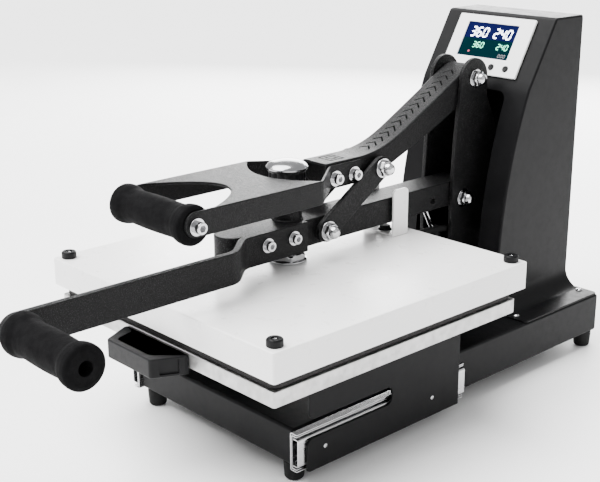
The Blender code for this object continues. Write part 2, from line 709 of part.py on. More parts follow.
def make_carriage_panel(side):
    """A side panel under the lower platen, with a slot at the front for the slide."""
    top = 132.7
    inner, outer = CARRIAGE_INNER, CARRIAGE_OUTER
    section = [(inner, 18), (outer, 18), (outer, top), (128, top), (128, top - 3), (inner, top - 3)]
    panel = prism("y", [(side * x, z) for x, z in section], 85, 335)
    radius = 9.0
    slot = prism("x", [(70, 57), (217 - radius, 57)] + arc((217 - radius, 57 + radius), radius, 270, 360, 4)
                 + arc((217 - radius, 79 - radius), radius, 0, 90, 4) + [(70, 79)],
                 *sorted((side * (inner - 5), side * (outer + 5))))
    return cut(panel, slot)


def make_slide(side, kind):
    """One member of a drawer slide, a C-section along Y."""
    members = {
        "outer": (140.3, 151.0, SLIDE_BOTTOM, SLIDE_TOP, 1.3),
        "middle": (142.3, 150.4, SLIDE_BOTTOM + 2.5, SLIDE_TOP - 2.5, 1.2),
        "inner": (152.9, 145.0, SLIDE_BOTTOM + 6.0, SLIDE_TOP - 6.0, 1.2),
    }
    back, lip, low, high, thick = members[kind]
    web = back + thick if lip > back else back - thick
    section = [(back, low), (lip, low), (lip, low + thick), (web, low + thick),
               (web, high - thick), (lip, high - thick), (lip, high), (back, high)]
    return prism("y", [(side * x, z) for x, z in section], SLIDE_FRONT, SLIDE_BACK)


def make_drawer_handle():
    """The moulded pull on the front of the lower platen."""
    plan = [(-57, 5.7), (-57, 1), (-40, -33), (40, -33), (57, 1), (57, 5.7),
            (38, 5.7), (38, 0), (31, -24), (-31, -24), (-38, 0), (-38, 5.7)]
    return prism("z", plan, 126.5, 148.5)


# ---------------------------------------------------------------- gas spring

def spring_direction():
    """The unit vector from the gas spring's lower pin to its upper one."""
    return Vector((0, SPRING_TOP[0] - SPRING_BOTTOM[0], SPRING_TOP[1] - SPRING_BOTTOM[1])).normalized()


def make_spring_bracket():
    """The bracket on the base that carries the gas spring's lower pin."""
    low = BASE_TOP + GAP
    foot = box((-17, 488, low), (17, 522, low + 3))
    ears = []
    for side in (-1, 1):
        outline = [(493, low), (517, low)] + arc(SPRING_BOTTOM, 11, 0, 180, 8)
        ears.append(prism("x", outline, *sorted((side * 13, side * 16.5))))
    return fuse(foot, *ears, across(SPRING_BOTTOM, 15, 3.8, SMALL))


def make_spring_cylinder():
    """The gas spring's cylinder, with an eye round the lower pin."""
    along = spring_direction()
    base = Vector((0, *SPRING_BOTTOM))
    eye = rod((-6, *SPRING_BOTTOM), (6, *SPRING_BOTTOM), 9.0, ROUND)
    tube = turned([(0, 6), (7, 6), (10, 10), (10, 90), (9, 92), (0, 92)], base, along, ROUND)
    well = rod(base + along * 28, base + along * 100, 4.5)
    pin = rod((-9, *SPRING_BOTTOM), (9, *SPRING_BOTTOM), 4.2)
    return cut(fuse(tube, eye), pin, well)


def make_spring_rod():
    """The gas spring's polished rod, with a wide eye round the upper pin."""
    along = spring_direction()
    base = Vector((0, *SPRING_BOTTOM))
    length = hypot(SPRING_TOP[0] - SPRING_BOTTOM[0], SPRING_TOP[1] - SPRING_BOTTOM[1])
    shank = rod(base + along * 58, base + along * (length - 9), 4.0)
    eye = rod((-5, *SPRING_TOP), (5, *SPRING_TOP), 11.0, ROUND)
    hole = rod((-9, *SPRING_TOP), (9, *SPRING_TOP), 7.8, ROUND)
    return cut(fuse(shank, eye), hole)


def make_spring_pin():
    """The pin that crosses the arm for the gas spring."""
    return across(SPRING_TOP, ARM_HALF, 4.0, SMALL)


# ---------------------------------------------------------------- assembly

def build_base_and_tower(bodies, palette):
    """Everything that stands still."""
    root = bodies["root"]
    add_part("base_pan", make_base(), palette["black_coat"], root)
    corners = {"front_left": (-127, 92), "front_right": (127, 92),
               "rear_left": (-127, 640), "rear_right": (127, 640)}
    for place, (x, y) in corners.items():
        add_part("foot_" + place, make_foot(x, y), palette["rubber"], root, 35)
    add_part("tower_shell", make_tower(), palette["black_coat"], root, 25)
    add_part("tower_back_cover", make_back_cover(), palette["black_coat"], root)
    add_part("power_inlet", make_inlet(), palette["black_plastic"], root)
    for side, place in ((-1, "left"), (1, "right")):
        add_part("frame_plate_" + place, make_frame_plate(side), palette["arm_coat"], root, 25)
        add_part("slide_outer_" + place, make_slide(side, "outer"), palette["zinc"], root)
    add_part("lever_pivot_bolt", make_through_bolt(LEVER_PIVOT, FRAME_OUTER), palette["chrome"],
             root, 35)
    add_part("arm_pivot_bolt", make_through_bolt(ARM_PIVOT, FRAME_OUTER), palette["chrome"],
             root, 35)
    add_part("gas_spring_bracket", make_spring_bracket(), palette["zinc"], root)
    add_part("heater_sleeve", make_conduit(), palette["black_plastic"], root, 50)
    add_part("power_switch", make_rocker(), palette["black_plastic"], bodies["power_switch"])


def build_lever(bodies, palette):
    """The lever with its yoke and grip, and the toggle links."""
    lever, links = bodies["lever"], bodies["links"]
    add_part("lever_arm", make_lever(), palette["arm_coat"], lever, 25)
    add_part("yoke", make_yoke(), palette["arm_coat"], lever, 25)
    length = 2 * (YOKE_HALF - YOKE_WALL - GAP)
    start = (-length / 2, *UPPER_GRIP)
    add_part("upper_grip", make_grip(start, length, BOLT_RADIUS + GAP), palette["foam"], lever, 45)
    add_part("upper_grip_rod", make_upper_grip_rod(), palette["chrome"], lever, 35)
    add_part("toggle_pin_upper", across(TOGGLE_TOP, LEVER_HALF + 1.4, BOLT_RADIUS),
             palette["chrome"], lever, 35)
    for side, place in ((-1, "left"), (1, "right")):
        add_part("link_" + place, make_link(side), palette["arm_coat"], links, 25)
        add_part("link_nut_" + place, make_link_nut(side), palette["chrome"], links, 35)
    add_part("toggle_bolt_lower", make_through_bolt(TOGGLE_BOTTOM, LINK_OUTER),
             palette["chrome"], links, 35)


def build_arm(bodies, palette):
    """The lower arm, its handle, and the gas spring under it."""
    arm = bodies["arm"]
    add_part("lower_arm", make_arm(), palette["arm_coat"], arm, 25)
    add_part("lower_handle_bar", make_bar(), palette["arm_coat"], arm, 25)
    grip = make_grip((BAR_OUTER + 1.3, *LOWER_GRIP), 112.0, 6.3)
    add_part("lower_grip", grip, palette["foam"], arm, 45)
    add_part("lower_grip_bolt", make_lower_grip_bolt(), palette["chrome"], arm, 35)
    add_part("gas_spring_pin", make_spring_pin(), palette["zinc"], arm, 35)
    add_part("gas_spring_cylinder", make_spring_cylinder(), palette["black_plastic"],
             bodies["spring_cylinder"], 35)
    add_part("gas_spring_rod", make_spring_rod(), palette["chrome"], bodies["spring_rod"], 35)


def build_upper_platen(bodies, palette):
    """The heated upper platen under its white cover, and the screw that presses it down."""
    platen = bodies["upper_platen"]
    screw = bodies["pressure_screw"]
    add_part("platen_cover", make_cover(), palette["white_coat"], platen)
    heater = rounded_slab((-195, 195), (5, 395), (161.8, 174), 6, 0.8)
    add_part("heat_platen", heater, palette["aluminium"], platen)
    blanket = rounded_slab((-190, 190), (10, 390), (174.3, 188), 6, 1.5)
    add_part("insulation_blanket", blanket, palette["insulation"], platen)
    add_part("screw_collar", make_collar(), palette["chrome"], platen, 35)
    add_part("guide_bracket", make_bracket(), palette["white_coat"], platen)
    add_part("sensor_gland", make_gland(), palette["rubber"], platen, 35)
    inset = 14.0
    half = PLATEN / 2 - inset
    for place, (x, y) in {"front_left": (-half, inset), "front_right": (half, inset),
                          "rear_left": (-half, PLATEN - inset),
                          "rear_right": (half, PLATEN - inset)}.items():
        add_part("cover_nut_" + place, make_corner_knob(x, y), palette["black_plastic"], platen, 35)
    add_part("pressure_screw", make_screw(), palette["zinc"], screw, 35)
    add_part("pressure_knob", make_knob(), palette["black_plastic"], screw, 35)


def build_drawer(bodies, palette):
    """The lower platen and the drawer that carries it."""
    carriage = bodies["carriage"]
    lower = rounded_slab((-193, 193), (6, 389), (133, 150.6), 3.5, 0.8)
    add_part("lower_platen", lower, palette["aluminium"], carriage)
    pad = rounded_slab((-190, 190), (9, 386), (150.9, 161.3), 9, 1.0)
    add_part("silicone_pad", pad, palette["silicone"], carriage)
    add_part("drawer_handle", make_drawer_handle(), palette["black_plastic"], carriage)
    for side, place in ((-1, "left"), (1, "right")):
        add_part("carriage_panel_" + place, make_carriage_panel(side), palette["black_coat"],
                 carriage)
        add_part("slide_inner_" + place, make_slide(side, "inner"), palette["zinc"], carriage)
        add_part("slide_middle_" + place, make_slide(side, "middle"), palette["zinc"],
                 bodies["slide_" + place])


def main():
    """Build the press."""
    clear_scene()
    palette = make_palette()
    bodies = make_bodies()
    build_base_and_tower(bodies, palette)
    make_controls(bodies, palette)
    build_lever(bodies, palette)
    build_arm(bodies, palette)
    build_upper_platen(bodies, palette)
    build_drawer(bodies, palette)


main()
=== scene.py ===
"""The looks of the tabletop heat press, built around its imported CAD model.

Shapes are drawn in millimetres in the press's own frame, as the CAD is: X runs to the operator's
right, Y runs back from the front edge of the platen cover, and Z runs up from the table.
piece() carries each finished shape into the frame's metres.
"""
import json
from math import atan2, cos, degrees, hypot, pi, radians, sin, sqrt, tan

import bmesh
import bpy
import numpy as np
from mathutils import Matrix, Vector, noise


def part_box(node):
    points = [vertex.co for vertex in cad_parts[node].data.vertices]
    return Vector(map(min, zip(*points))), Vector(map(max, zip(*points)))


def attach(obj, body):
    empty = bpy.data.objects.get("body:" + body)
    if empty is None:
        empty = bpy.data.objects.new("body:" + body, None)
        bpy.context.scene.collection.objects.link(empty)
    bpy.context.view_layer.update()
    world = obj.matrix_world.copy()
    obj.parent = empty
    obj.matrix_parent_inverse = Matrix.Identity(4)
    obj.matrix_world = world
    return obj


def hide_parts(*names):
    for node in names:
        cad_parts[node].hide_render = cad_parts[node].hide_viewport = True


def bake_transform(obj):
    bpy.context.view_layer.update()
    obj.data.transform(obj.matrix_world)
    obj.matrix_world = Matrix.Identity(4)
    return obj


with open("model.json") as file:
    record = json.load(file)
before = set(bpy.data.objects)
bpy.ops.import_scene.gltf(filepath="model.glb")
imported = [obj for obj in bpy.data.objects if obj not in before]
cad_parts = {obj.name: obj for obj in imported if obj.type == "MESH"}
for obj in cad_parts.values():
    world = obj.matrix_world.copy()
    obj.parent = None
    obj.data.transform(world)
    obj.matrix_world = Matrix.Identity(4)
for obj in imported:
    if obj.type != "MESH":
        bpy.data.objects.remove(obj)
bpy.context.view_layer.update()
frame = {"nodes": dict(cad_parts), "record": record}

MM = 0.001
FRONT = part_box("platen_cover")[0][1]          # where the cover's front edge lies in the frame
TO_FRAME = Matrix.Translation((0, FRONT, 0)) @ Matrix.Scale(MM, 4)

# Driving dimensions, shared with the CAD
GAP, SHEET = 0.3, 2.0
LEVER_PIVOT, ARM_PIVOT = (503.0, 380.0), (487.0, 223.0)
TOGGLE_TOP, TOGGLE_BOTTOM = (327.0, 292.0), (235.0, 231.5)
SPRING_TOP, SPRING_BOTTOM = (435.0, 226.0), (505.0, 99.0)
SCREW_Y = 199.0
LEVER_HALF, ARM_HALF = 20.0, 20.6
FRAME_INNER, FRAME_OUTER, LINK_INNER, LINK_OUTER = 21.4, 27.4, 25.4, 31.4
YOKE_HALF, YOKE_WALL, YOKE_TOP, YOKE_BOTTOM = 66.0, 3.0, 306.0, 278.0
UPPER_GRIP, LOWER_GRIP = (15.0, 290.0), (-190.0, 230.0)
BAR_INNER, BAR_OUTER = 52.0, 60.0
PLATEN, COVER_BOTTOM, COVER_TOP = 400.0, 163.0, 196.0
BASE_HALF, BASE_FRONT, BASE_BACK = 140.0, 78.0, 653.0
BASE_BOTTOM, BASE_STEP, BASE_TOP, BASE_STEP_Y = 22.0, 66.0, 75.0, 345.0
TOWER_HALF, TOWER_TOP, TOWER_BACK, TOWER_FOOT = 89.5, 455.0, 645.0, 487.0
COVE, FLANGE_HALF = 28.0, 139.5
FACE_TOP, FACE_LOW = (587.0, 454.0), (536.0, 368.0)
BEZEL_DROP = 6.0


# ---------------------------------------------------------------- shapes, in millimetres

def finish_mesh(bm):
    """Turn a bmesh into a mesh whose faces point outwards."""
    bmesh.ops.recalc_face_normals(bm, faces=bm.faces[:])
    mesh = bpy.data.meshes.new("shape")
    bm.to_mesh(mesh)
    bm.free()
    return mesh


def loft(sections, capped=True):
    """A solid through loops of equally many points."""
    bm = bmesh.new()
    rings = [[bm.verts.new(point) for point in section] for section in sections]
    count = len(rings[0])
    for low, high in zip(rings, rings[1:]):
        for i in range(count):
            j = (i + 1) % count
            bm.faces.new((low[i], low[j], high[j], high[i]))
    if capped:
        bm.faces.new(rings[0])
        bm.faces.new(rings[-1])
    return finish_mesh(bm)


def fillet(points, radius=0.0, closed=True, steps=5):
    """Round the corners of a line. A point's third value is its own radius."""
    result = []
    count = len(points)
    for i, point in enumerate(points):
        here = Vector(point[:2])
        size = point[2] if len(point) > 2 else radius
        if size <= 0 or (not closed and i in (0, count - 1)):
            result.append(tuple(here))
            continue
        back = Vector(points[i - 1][:2]) - here
        ahead = Vector(points[(i + 1) % count][:2]) - here
        angle = back.angle(ahead)
        if angle > pi - 0.02:
            result.append(tuple(here))
            continue
        run = min(size / tan(angle / 2), 0.48 * back.length, 0.48 * ahead.length)
        reach = run / cos(angle / 2)
        centre = here + (back.normalized() + ahead.normalized()).normalized() * reach
        start = here + back.normalized() * run - centre
        stop = here + ahead.normalized() * run - centre
        sweep = pi - angle
        pieces = max(2, round(steps * sweep / (pi / 2)))
        for k in range(pieces + 1):
            t = k / pieces
            arm = (start * sin((1 - t) * sweep) + stop * sin(t * sweep)) / sin(sweep)
            result.append(tuple(centre + arm))
    return result


def inset(outline, distance):
    """An outline moved inwards by a small distance."""
    count = len(outline)
    area = sum(outline[i][0] * outline[(i + 1) % count][1]
               - outline[(i + 1) % count][0] * outline[i][1] for i in range(count))
    way = distance if area > 0 else -distance
    moved = []
    for i, point in enumerate(outline):
        here = Vector(point)
        before = (here - Vector(outline[i - 1])).normalized()
        after = (Vector(outline[(i + 1) % count]) - here).normalized()
        first, second = Vector((-before.y, before.x)), Vector((-after.y, after.x))
        middle = (first + second).normalized()
        moved.append(tuple(here + middle * way / max(middle.dot(first), 0.3)))
    return moved


def arc(centre, radius, start, stop, steps):
    """Points on a circle between two angles in degrees."""
    return [(centre[0] + radius * cos(radians(start + (stop - start) * i / steps)),
             centre[1] + radius * sin(radians(start + (stop - start) * i / steps)))
            for i in range(steps + 1)]


def rectangle(u0, u1, v0, v1, radius=0.0, steps=6):
    """A rectangle's outline, with round corners if a radius is given."""
    return fillet([(u0, v0), (u1, v0), (u1, v1), (u0, v1)], radius, steps=steps)


AXES = {
    "x": lambda u, v, w: (w, u, v),
    "y": lambda u, v, w: (u, w, v),
    "z": lambda u, v, w: (u, v, w),
}


def plate(axis, outline, low, high, edge=0.6, steps=3):
    """An outline extruded along an axis, with its edges rounded at both ends."""
    place = AXES.get(axis, axis)
    levels = []
    for k in range(steps + 1):
        angle = pi / 2 * k / steps
        levels.append((low + edge * (1 - cos(angle)), edge * (1 - sin(angle))))
    levels += [(low + high - level, step) for level, step in reversed(levels)]
    return loft([[place(u, v, w) for u, v in inset(outline, step)] for w, step in levels])


def slab(x_range, y_range, z_range, corner, edge):
    """A level slab with round corners and rounded edges."""
    return plate("z", rectangle(*x_range, *y_range, corner, 8), *z_range, edge, 4)


def lathe(profile, base, direction, sides=48, radius=0.0, hexes=(), closed=False, shape=None):
    """Turn a profile of (radius, height) points about an axis through base.

    hexes lists (from, to, apothem) stretches that are cut to a hexagon. shape changes a radius
    by (angle, radius, height). A profile that is not closed starts and ends on the axis.
    """
    turn = Vector((0, 0, 1)).rotation_difference(Vector(direction)).to_matrix().to_4x4()
    place = Matrix.Translation(base) @ turn
    bm = bmesh.new()
    rings = []
    for reach, height in fillet(profile, radius, closed, 4):
        if reach < 1e-6:
            rings.append([bm.verts.new(place @ Vector((0, 0, height)))])
            continue
        ring = []
        for i in range(sides):
            angle = 2 * pi * i / sides
            far = shape(angle, reach, height) if shape else reach
            for low, high, apothem in hexes:
                if low <= height <= high:
                    far = min(far, apothem / cos((angle + pi / 6) % (pi / 3) - pi / 6))
            ring.append(bm.verts.new(place @ Vector((far * cos(angle), far * sin(angle), height))))
        rings.append(ring)
    pairs = list(zip(rings, rings[1:]))
    if closed:
        pairs.append((rings[-1], rings[0]))
    for low, high in pairs:
        for i in range(sides):
            j = (i + 1) % sides
            if len(low) == 1:
                bm.faces.new((low[0], high[j], high[i]))
            elif len(high) == 1:
                bm.faces.new((low[i], low[j], high[0]))
            else:
                bm.faces.new((low[i], low[j], high[j], high[i]))
    return finish_mesh(bm)


def combine(mesh, others, operation):
    """Apply Boolean operations to a mesh, one after another."""
    scene = bpy.context.scene
    body = bpy.data.objects.new("body", mesh)
    scene.collection.objects.link(body)
    for other in others:
        tool = bpy.data.objects.new("tool", other)
        scene.collection.objects.link(tool)
        modifier = body.modifiers.new("combine", "BOOLEAN")
        modifier.operation = operation
        modifier.object = tool
        bpy.context.view_layer.update()
        graph = bpy.context.evaluated_depsgraph_get()
        result = bpy.data.meshes.new_from_object(body.evaluated_get(graph))
        body.modifiers.clear()
        body.data = result
        bpy.data.objects.remove(tool, do_unlink=True)
    result = body.data
    bpy.data.objects.remove(body, do_unlink=True)
    return result


def cut(mesh, *tools):
    """Take the tools' shapes out of a mesh."""
    return combine(mesh, tools, "DIFFERENCE")


def fuse(mesh, *others):
    """Join overlapping meshes into one body."""
    return combine(mesh, others, "UNION")


def gather(*meshes):
    """Several separate solids as one mesh."""
    bm = bmesh.new()
    for mesh in meshes:
        bm.from_mesh(mesh)
    result = bpy.data.meshes.new("shape")
    bm.to_mesh(result)
    bm.free()
    return result


def strap(path, centre_z, half_height, thick, edge=0.8, nose=False, steps=3):
    """A flat bar on edge along a plan path, its front end rounded in side view if nose is set."""
    stations = []
    for i, point in enumerate(path):
        here = Vector(point)
        ahead = (Vector(path[min(i + 1, len(path) - 1)]) - Vector(path[max(i - 1, 0)])).normalized()
        stations.append((here, Vector((-ahead.y, ahead.x)), half_height))
    if nose:
        last, side = stations[-1][0], stations[-1][1]
        for k in range(1, 15):
            angle = radians(6.2 * k)
            stations.append((last + Vector((0, -half_height * sin(angle))), side,
                             half_height * cos(angle)))
    sections = []
    for here, side, half in stations:
        outline = fillet([(-thick / 2, -half), (thick / 2, -half), (thick / 2, half), (-thick / 2, half)],
                         edge, steps=steps)
        sections.append([(here.x + side.x * u, here.y + side.y * u, centre_z + v) for u, v in outline])
    return loft(sections)


def panel_point(x, down, out):
    """A point on the control face: down the slope from its top edge and out from it."""
    length = hypot(FACE_TOP[0] - FACE_LOW[0], FACE_TOP[1] - FACE_LOW[1])
    run = (FACE_LOW[0] - FACE_TOP[0]) / length
    fall = (FACE_LOW[1] - FACE_TOP[1]) / length
    return (x, FACE_TOP[0] + run * (down + BEZEL_DROP) + fall * out,
            FACE_TOP[1] + fall * (down + BEZEL_DROP) - run * out)


PANEL_OUT = Vector(panel_point(0, 0, 1)) - Vector(panel_point(0, 0, 0))


# ---------------------------------------------------------------- materials

def make_look(name, colour, roughness, metallic=0.0, grain=None, mottle=None, specks_and_glints=None,
              stretch=None, rough_range=None, coat=0.0, sheen=0.0, glow=0.0, shine=0.5):
    """A procedural material.

    grain is (scale, strength, height in metres) of the surface's bump. mottle is (scale, darker
    share) of soft colour changes. specks is (scale, share, colour) of small light spots, which are
    real speckle on some finishes and painted glints, light caught by a rough coat, on others. stretch
    scales the pattern along X, Y and Z. rough_range is (scale, low, high) of the roughness. shine
    is the strength of the plain reflection.
    """
    look = bpy.data.materials.new("look_" + name)
    look.use_nodes = True
    nodes, links = look.node_tree.nodes, look.node_tree.links
    shader = nodes["Principled BSDF"]
    shader.inputs["Base Color"].default_value = (*colour, 1)
    shader.inputs["Roughness"].default_value = roughness
    shader.inputs["Metallic"].default_value = metallic
    shader.inputs["Specular IOR Level"].default_value = shine
    shader.inputs["Coat Weight"].default_value = coat
    shader.inputs["Coat Roughness"].default_value = 0.3
    shader.inputs["Sheen Weight"].default_value = sheen
    if glow:
        shader.inputs["Emission Color"].default_value = (*colour, 1)
        shader.inputs["Emission Strength"].default_value = glow
    place = nodes.new("ShaderNodeTexCoord").outputs["Object"]
    if stretch:
        mapping = nodes.new("ShaderNodeMapping")
        mapping.inputs["Scale"].default_value = stretch
        links.new(place, mapping.inputs["Vector"])
        place = mapping.outputs["Vector"]

    def texture(scale, detail=3.0):
        node = nodes.new("ShaderNodeTexNoise")
        node.inputs["Scale"].default_value = scale
        node.inputs["Detail"].default_value = detail
        links.new(place, node.inputs["Vector"])
        return node.outputs["Fac"]

    def between(factor, low, high, narrow=(0.3, 0.7)):
        node = nodes.new("ShaderNodeMapRange")
        node.inputs["From Min"].default_value, node.inputs["From Max"].default_value = narrow
        node.inputs["To Min"].default_value, node.inputs["To Max"].default_value = low, high
        links.new(factor, node.inputs["Value"])
        return node.outputs["Result"]

    def blend(factor, first, second):
        node = nodes.new("ShaderNodeMix")
        node.data_type = "RGBA"
        links.new(factor, node.inputs["Factor"])
        for socket, value in ((node.inputs["A"], first), (node.inputs["B"], second)):
            if isinstance(value, tuple):
                socket.default_value = (*value, 1)
            else:
                links.new(value, socket)
        return node.outputs["Result"]

    tint = colour
    if mottle:
        darker = tuple(c * mottle[1] for c in colour)
        tint = blend(between(texture(mottle[0]), 0.0, 1.0), darker, colour)
    # Small light spots mixed into the colour: real speckle on some finishes, painted glints on others.
    if specks_and_glints:
        scale, share, light = specks_and_glints
        spot = between(texture(scale, 1.0), 0.0, 1.0, (1.0 - share, 1.02 - share))
        tint = blend(spot, tint, light)
    if not isinstance(tint, tuple):
        links.new(tint, shader.inputs["Base Color"])
    if rough_range:
        links.new(between(texture(rough_range[0]), *rough_range[1:]), shader.inputs["Roughness"])
    if grain:
        bump = nodes.new("ShaderNodeBump")
        bump.inputs["Strength"].default_value = grain[1]
        bump.inputs["Distance"].default_value = grain[2]
        links.new(texture(grain[0], 4.0), bump.inputs["Height"])
        links.new(bump.outputs["Normal"], shader.inputs["Normal"])
    return look


def make_looks():
    """Every finish of the press, named after the record's material slots."""
    return {
        "black_coat": make_look("black_coat", (0.004, 0.004, 0.0044), 0.4, grain=(1500, 0.25, 0.0002),
                                mottle=(40, 0.8), rough_range=(120, 0.36, 0.46), shine=0.08),
        # The arm coat's light specks are painted glints, the spots of light that its rough powder coat
        # catches.
        "arm_coat": make_look("arm_coat", (0.004, 0.004, 0.0044), 0.42, grain=(800, 0.8, 0.0008),
                              mottle=(300, 0.5), specks_and_glints=(1000, 0.38, (0.03, 0.03, 0.03)),
                              rough_range=(400, 0.34, 0.5), shine=0.1),
        "white_coat": make_look("white_coat", (0.84, 0.835, 0.83), 0.3, grain=(700, 0.12, 0.0002),
                                mottle=(14, 0.97), rough_range=(60, 0.26, 0.36), coat=0.3),
        "aluminium": make_look("aluminium", (0.5, 0.495, 0.49), 0.4, 1.0, grain=(500, 0.35, 0.0003),
                               mottle=(90, 0.72), rough_range=(160, 0.3, 0.52)),
        "silicone": make_look("silicone", (0.025, 0.024, 0.024), 0.85, grain=(600, 0.8, 0.0008),
                              mottle=(250, 0.6), specks_and_glints=(700, 0.34, (0.06, 0.06, 0.06)), shine=0.2),
        "insulation": make_look("insulation", (0.6, 0.57, 0.5), 0.95, grain=(260, 0.9, 0.0015),
                                mottle=(60, 0.8), stretch=(1, 3, 1), sheen=0.3),
        "foam": make_look("foam", (0.0035, 0.0035, 0.0038), 0.85, grain=(900, 0.7, 0.0005),
                          mottle=(200, 0.6), rough_range=(90, 0.75, 0.95), shine=0.05),
        "black_plastic": make_look("black_plastic", (0.004, 0.004, 0.0045), 0.4,
                                   grain=(1200, 0.3, 0.0002), mottle=(60, 0.8),
                                   rough_range=(150, 0.34, 0.48), shine=0.12),
        "chrome": make_look("chrome", (0.5, 0.5, 0.51), 0.12, 1.0, grain=(400, 0.06, 0.0002),
                            rough_range=(90, 0.08, 0.18)),
        "zinc": make_look("zinc", (0.62, 0.62, 0.63), 0.24, 1.0, grain=(300, 0.04, 0.0001),
                          stretch=(1, 0.05, 1), mottle=(120, 0.9), rough_range=(160, 0.2, 0.3)),
        "rubber": make_look("rubber", (0.005, 0.005, 0.005), 0.7, grain=(900, 0.4, 0.0003),
                            mottle=(80, 0.7), rough_range=(70, 0.6, 0.8), shine=0.2),
        "panel_white": make_look("panel_white", (0.82, 0.82, 0.82), 0.32,
                                 grain=(1400, 0.1, 0.0001), mottle=(30, 0.97),
                                 rough_range=(80, 0.28, 0.38)),
        "screen": make_look("screen", (0.003, 0.004, 0.03), 0.5, grain=(60, 0.02, 0.0002),
                            mottle=(40, 0.85), glow=0.8, shine=0.0),
        "circuit": make_look("circuit", (0.02, 0.16, 0.07), 0.4, grain=(500, 0.3, 0.0003),
                             mottle=(120, 0.6)),
    }


LOOKS = make_looks()
LOOKS["screen_low"] = make_look("screen_low", (0.001, 0.01, 0.013), 0.5, mottle=(40, 0.85),
                                glow=0.8, shine=0.0)
LOOKS["digit_white"] = make_look("digit_white", (0.85, 0.88, 1.0), 0.4, mottle=(900, 0.92), glow=6.0)
LOOKS["digit_green"] = make_look("digit_green", (0.1, 0.72, 0.45), 0.4, mottle=(900, 0.9), glow=2.5)
LOOKS["digit_dim"] = make_look("digit_dim", (0.16, 0.16, 0.18), 0.4, mottle=(900, 0.9), glow=0.4)
# The knob's cap is polished chrome like the fasteners. Its darker colour is painted shade, standing for
# the dark surroundings it reflects.
LOOKS["dome"] = make_look("dome", (0.3, 0.3, 0.31), 0.16, 1.0, grain=(400, 0.05, 0.0002),
                          rough_range=(90, 0.12, 0.2))
# The groove look is the arm coat made darker and duller, as painted shade on the floors of the pressed
# marks.
LOOKS["pressed"] = make_look("pressed", (0.002, 0.002, 0.002), 0.8, grain=(800, 0.3, 0.0003),
                             mottle=(300, 0.7), shine=0.02)
LOOKS["lamp_red"] = make_look("lamp_red", (0.45, 0.03, 0.08), 0.4, mottle=(900, 0.9), glow=0.6)


def piece(name, mesh, look, body, replaces=(), smooth=34):
    """Place a finished shape as a piece of a body, standing for some CAD nodes."""
    mesh.name = name
    mesh.transform(TO_FRAME)
    mesh.materials.clear()
    mesh.materials.append(LOOKS[look])
    mesh.shade_smooth()
    mesh.set_sharp_from_angle(angle=radians(smooth))
    shown = bpy.data.objects.new(name, mesh)
    bpy.context.scene.collection.objects.link(shown)
    level = shown.modifiers.new("even_shading", "WEIGHTED_NORMAL")
    level.keep_sharp = True
    if body:
        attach(shown, body)
    if replaces:
        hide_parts(*replaces)
    return shown


# ---------------------------------------------------------------- fasteners

def acorn_nut(start, direction, scale=1.0):
    """A thick washer, a chamfered hexagon and a polished dome."""
    profile = [(0, 0), (12, 0, 0.4), (12, 2.2, 0.4), (9.9, 2.2), (9.9, 2.25), (10.3, 3.0), (10.3, 7.9),
               (8.9, 8.8), (7.8, 9.0), (7.8, 11.2, 2), (6.4, 14.6, 3), (3.4, 16.6, 3), (0, 17)]
    profile = [tuple(value * scale for value in point) for point in profile]
    return lathe(profile, start, direction, 72, hexes=[(2.24 * scale, 8.85 * scale, 9.1 * scale)])


def cap_screw(start, direction, head=6.5, height=7.0, washer=9.5, socket=3.2):
    """A socket head screw on a washer, with a hexagonal recess."""
    profile = [(0, 0), (washer, 0, 0.3), (washer, 1.6, 0.3), (head, 1.6), (head, 1.6 + height, 0.8),
               (0, 1.6 + height)]
    body = lathe(profile, start, direction, 40)
    way = Vector(direction).normalized()
    well = lathe([(0, 0), (socket * 1.2, 0), (socket * 1.2, 9), (0, 9)],
                 Vector(start) + way * (2.4 + height * 0.4), direction, 36,
                 hexes=[(-1, 10, socket)])
    return cut(body, well)


def pan_screw(start, direction, head=4.0, height=2.2):
    """A small domed screw with a cross recess."""
    profile = [(0, 0), (head, 0, 0.2), (head, height * 0.45, 1.2), (head * 0.55, height, 2), (0, height)]
    body = lathe(profile, start, direction, 28)
    turn = Vector((0, 0, 1)).rotation_difference(Vector(direction)).to_matrix().to_4x4()
    slots = []
    for long, short in ((head * 0.6, head * 0.13), (head * 0.13, head * 0.6)):
        slot = plate("z", rectangle(-long, long, -short, short), height * 0.5, height + 1, 0.05, 1)
        slot.transform(Matrix.Translation(start) @ turn)
        slots.append(slot)
    return cut(body, *slots)


def paired(make, *places):
    """The same fastener on both sides of the press: places are (half width, y, z)."""
    return gather(*[make((side * x, y, z), (side, 0, 0)) for x, y, z in places for side in (-1, 1)])


# ---------------------------------------------------------------- base and tower

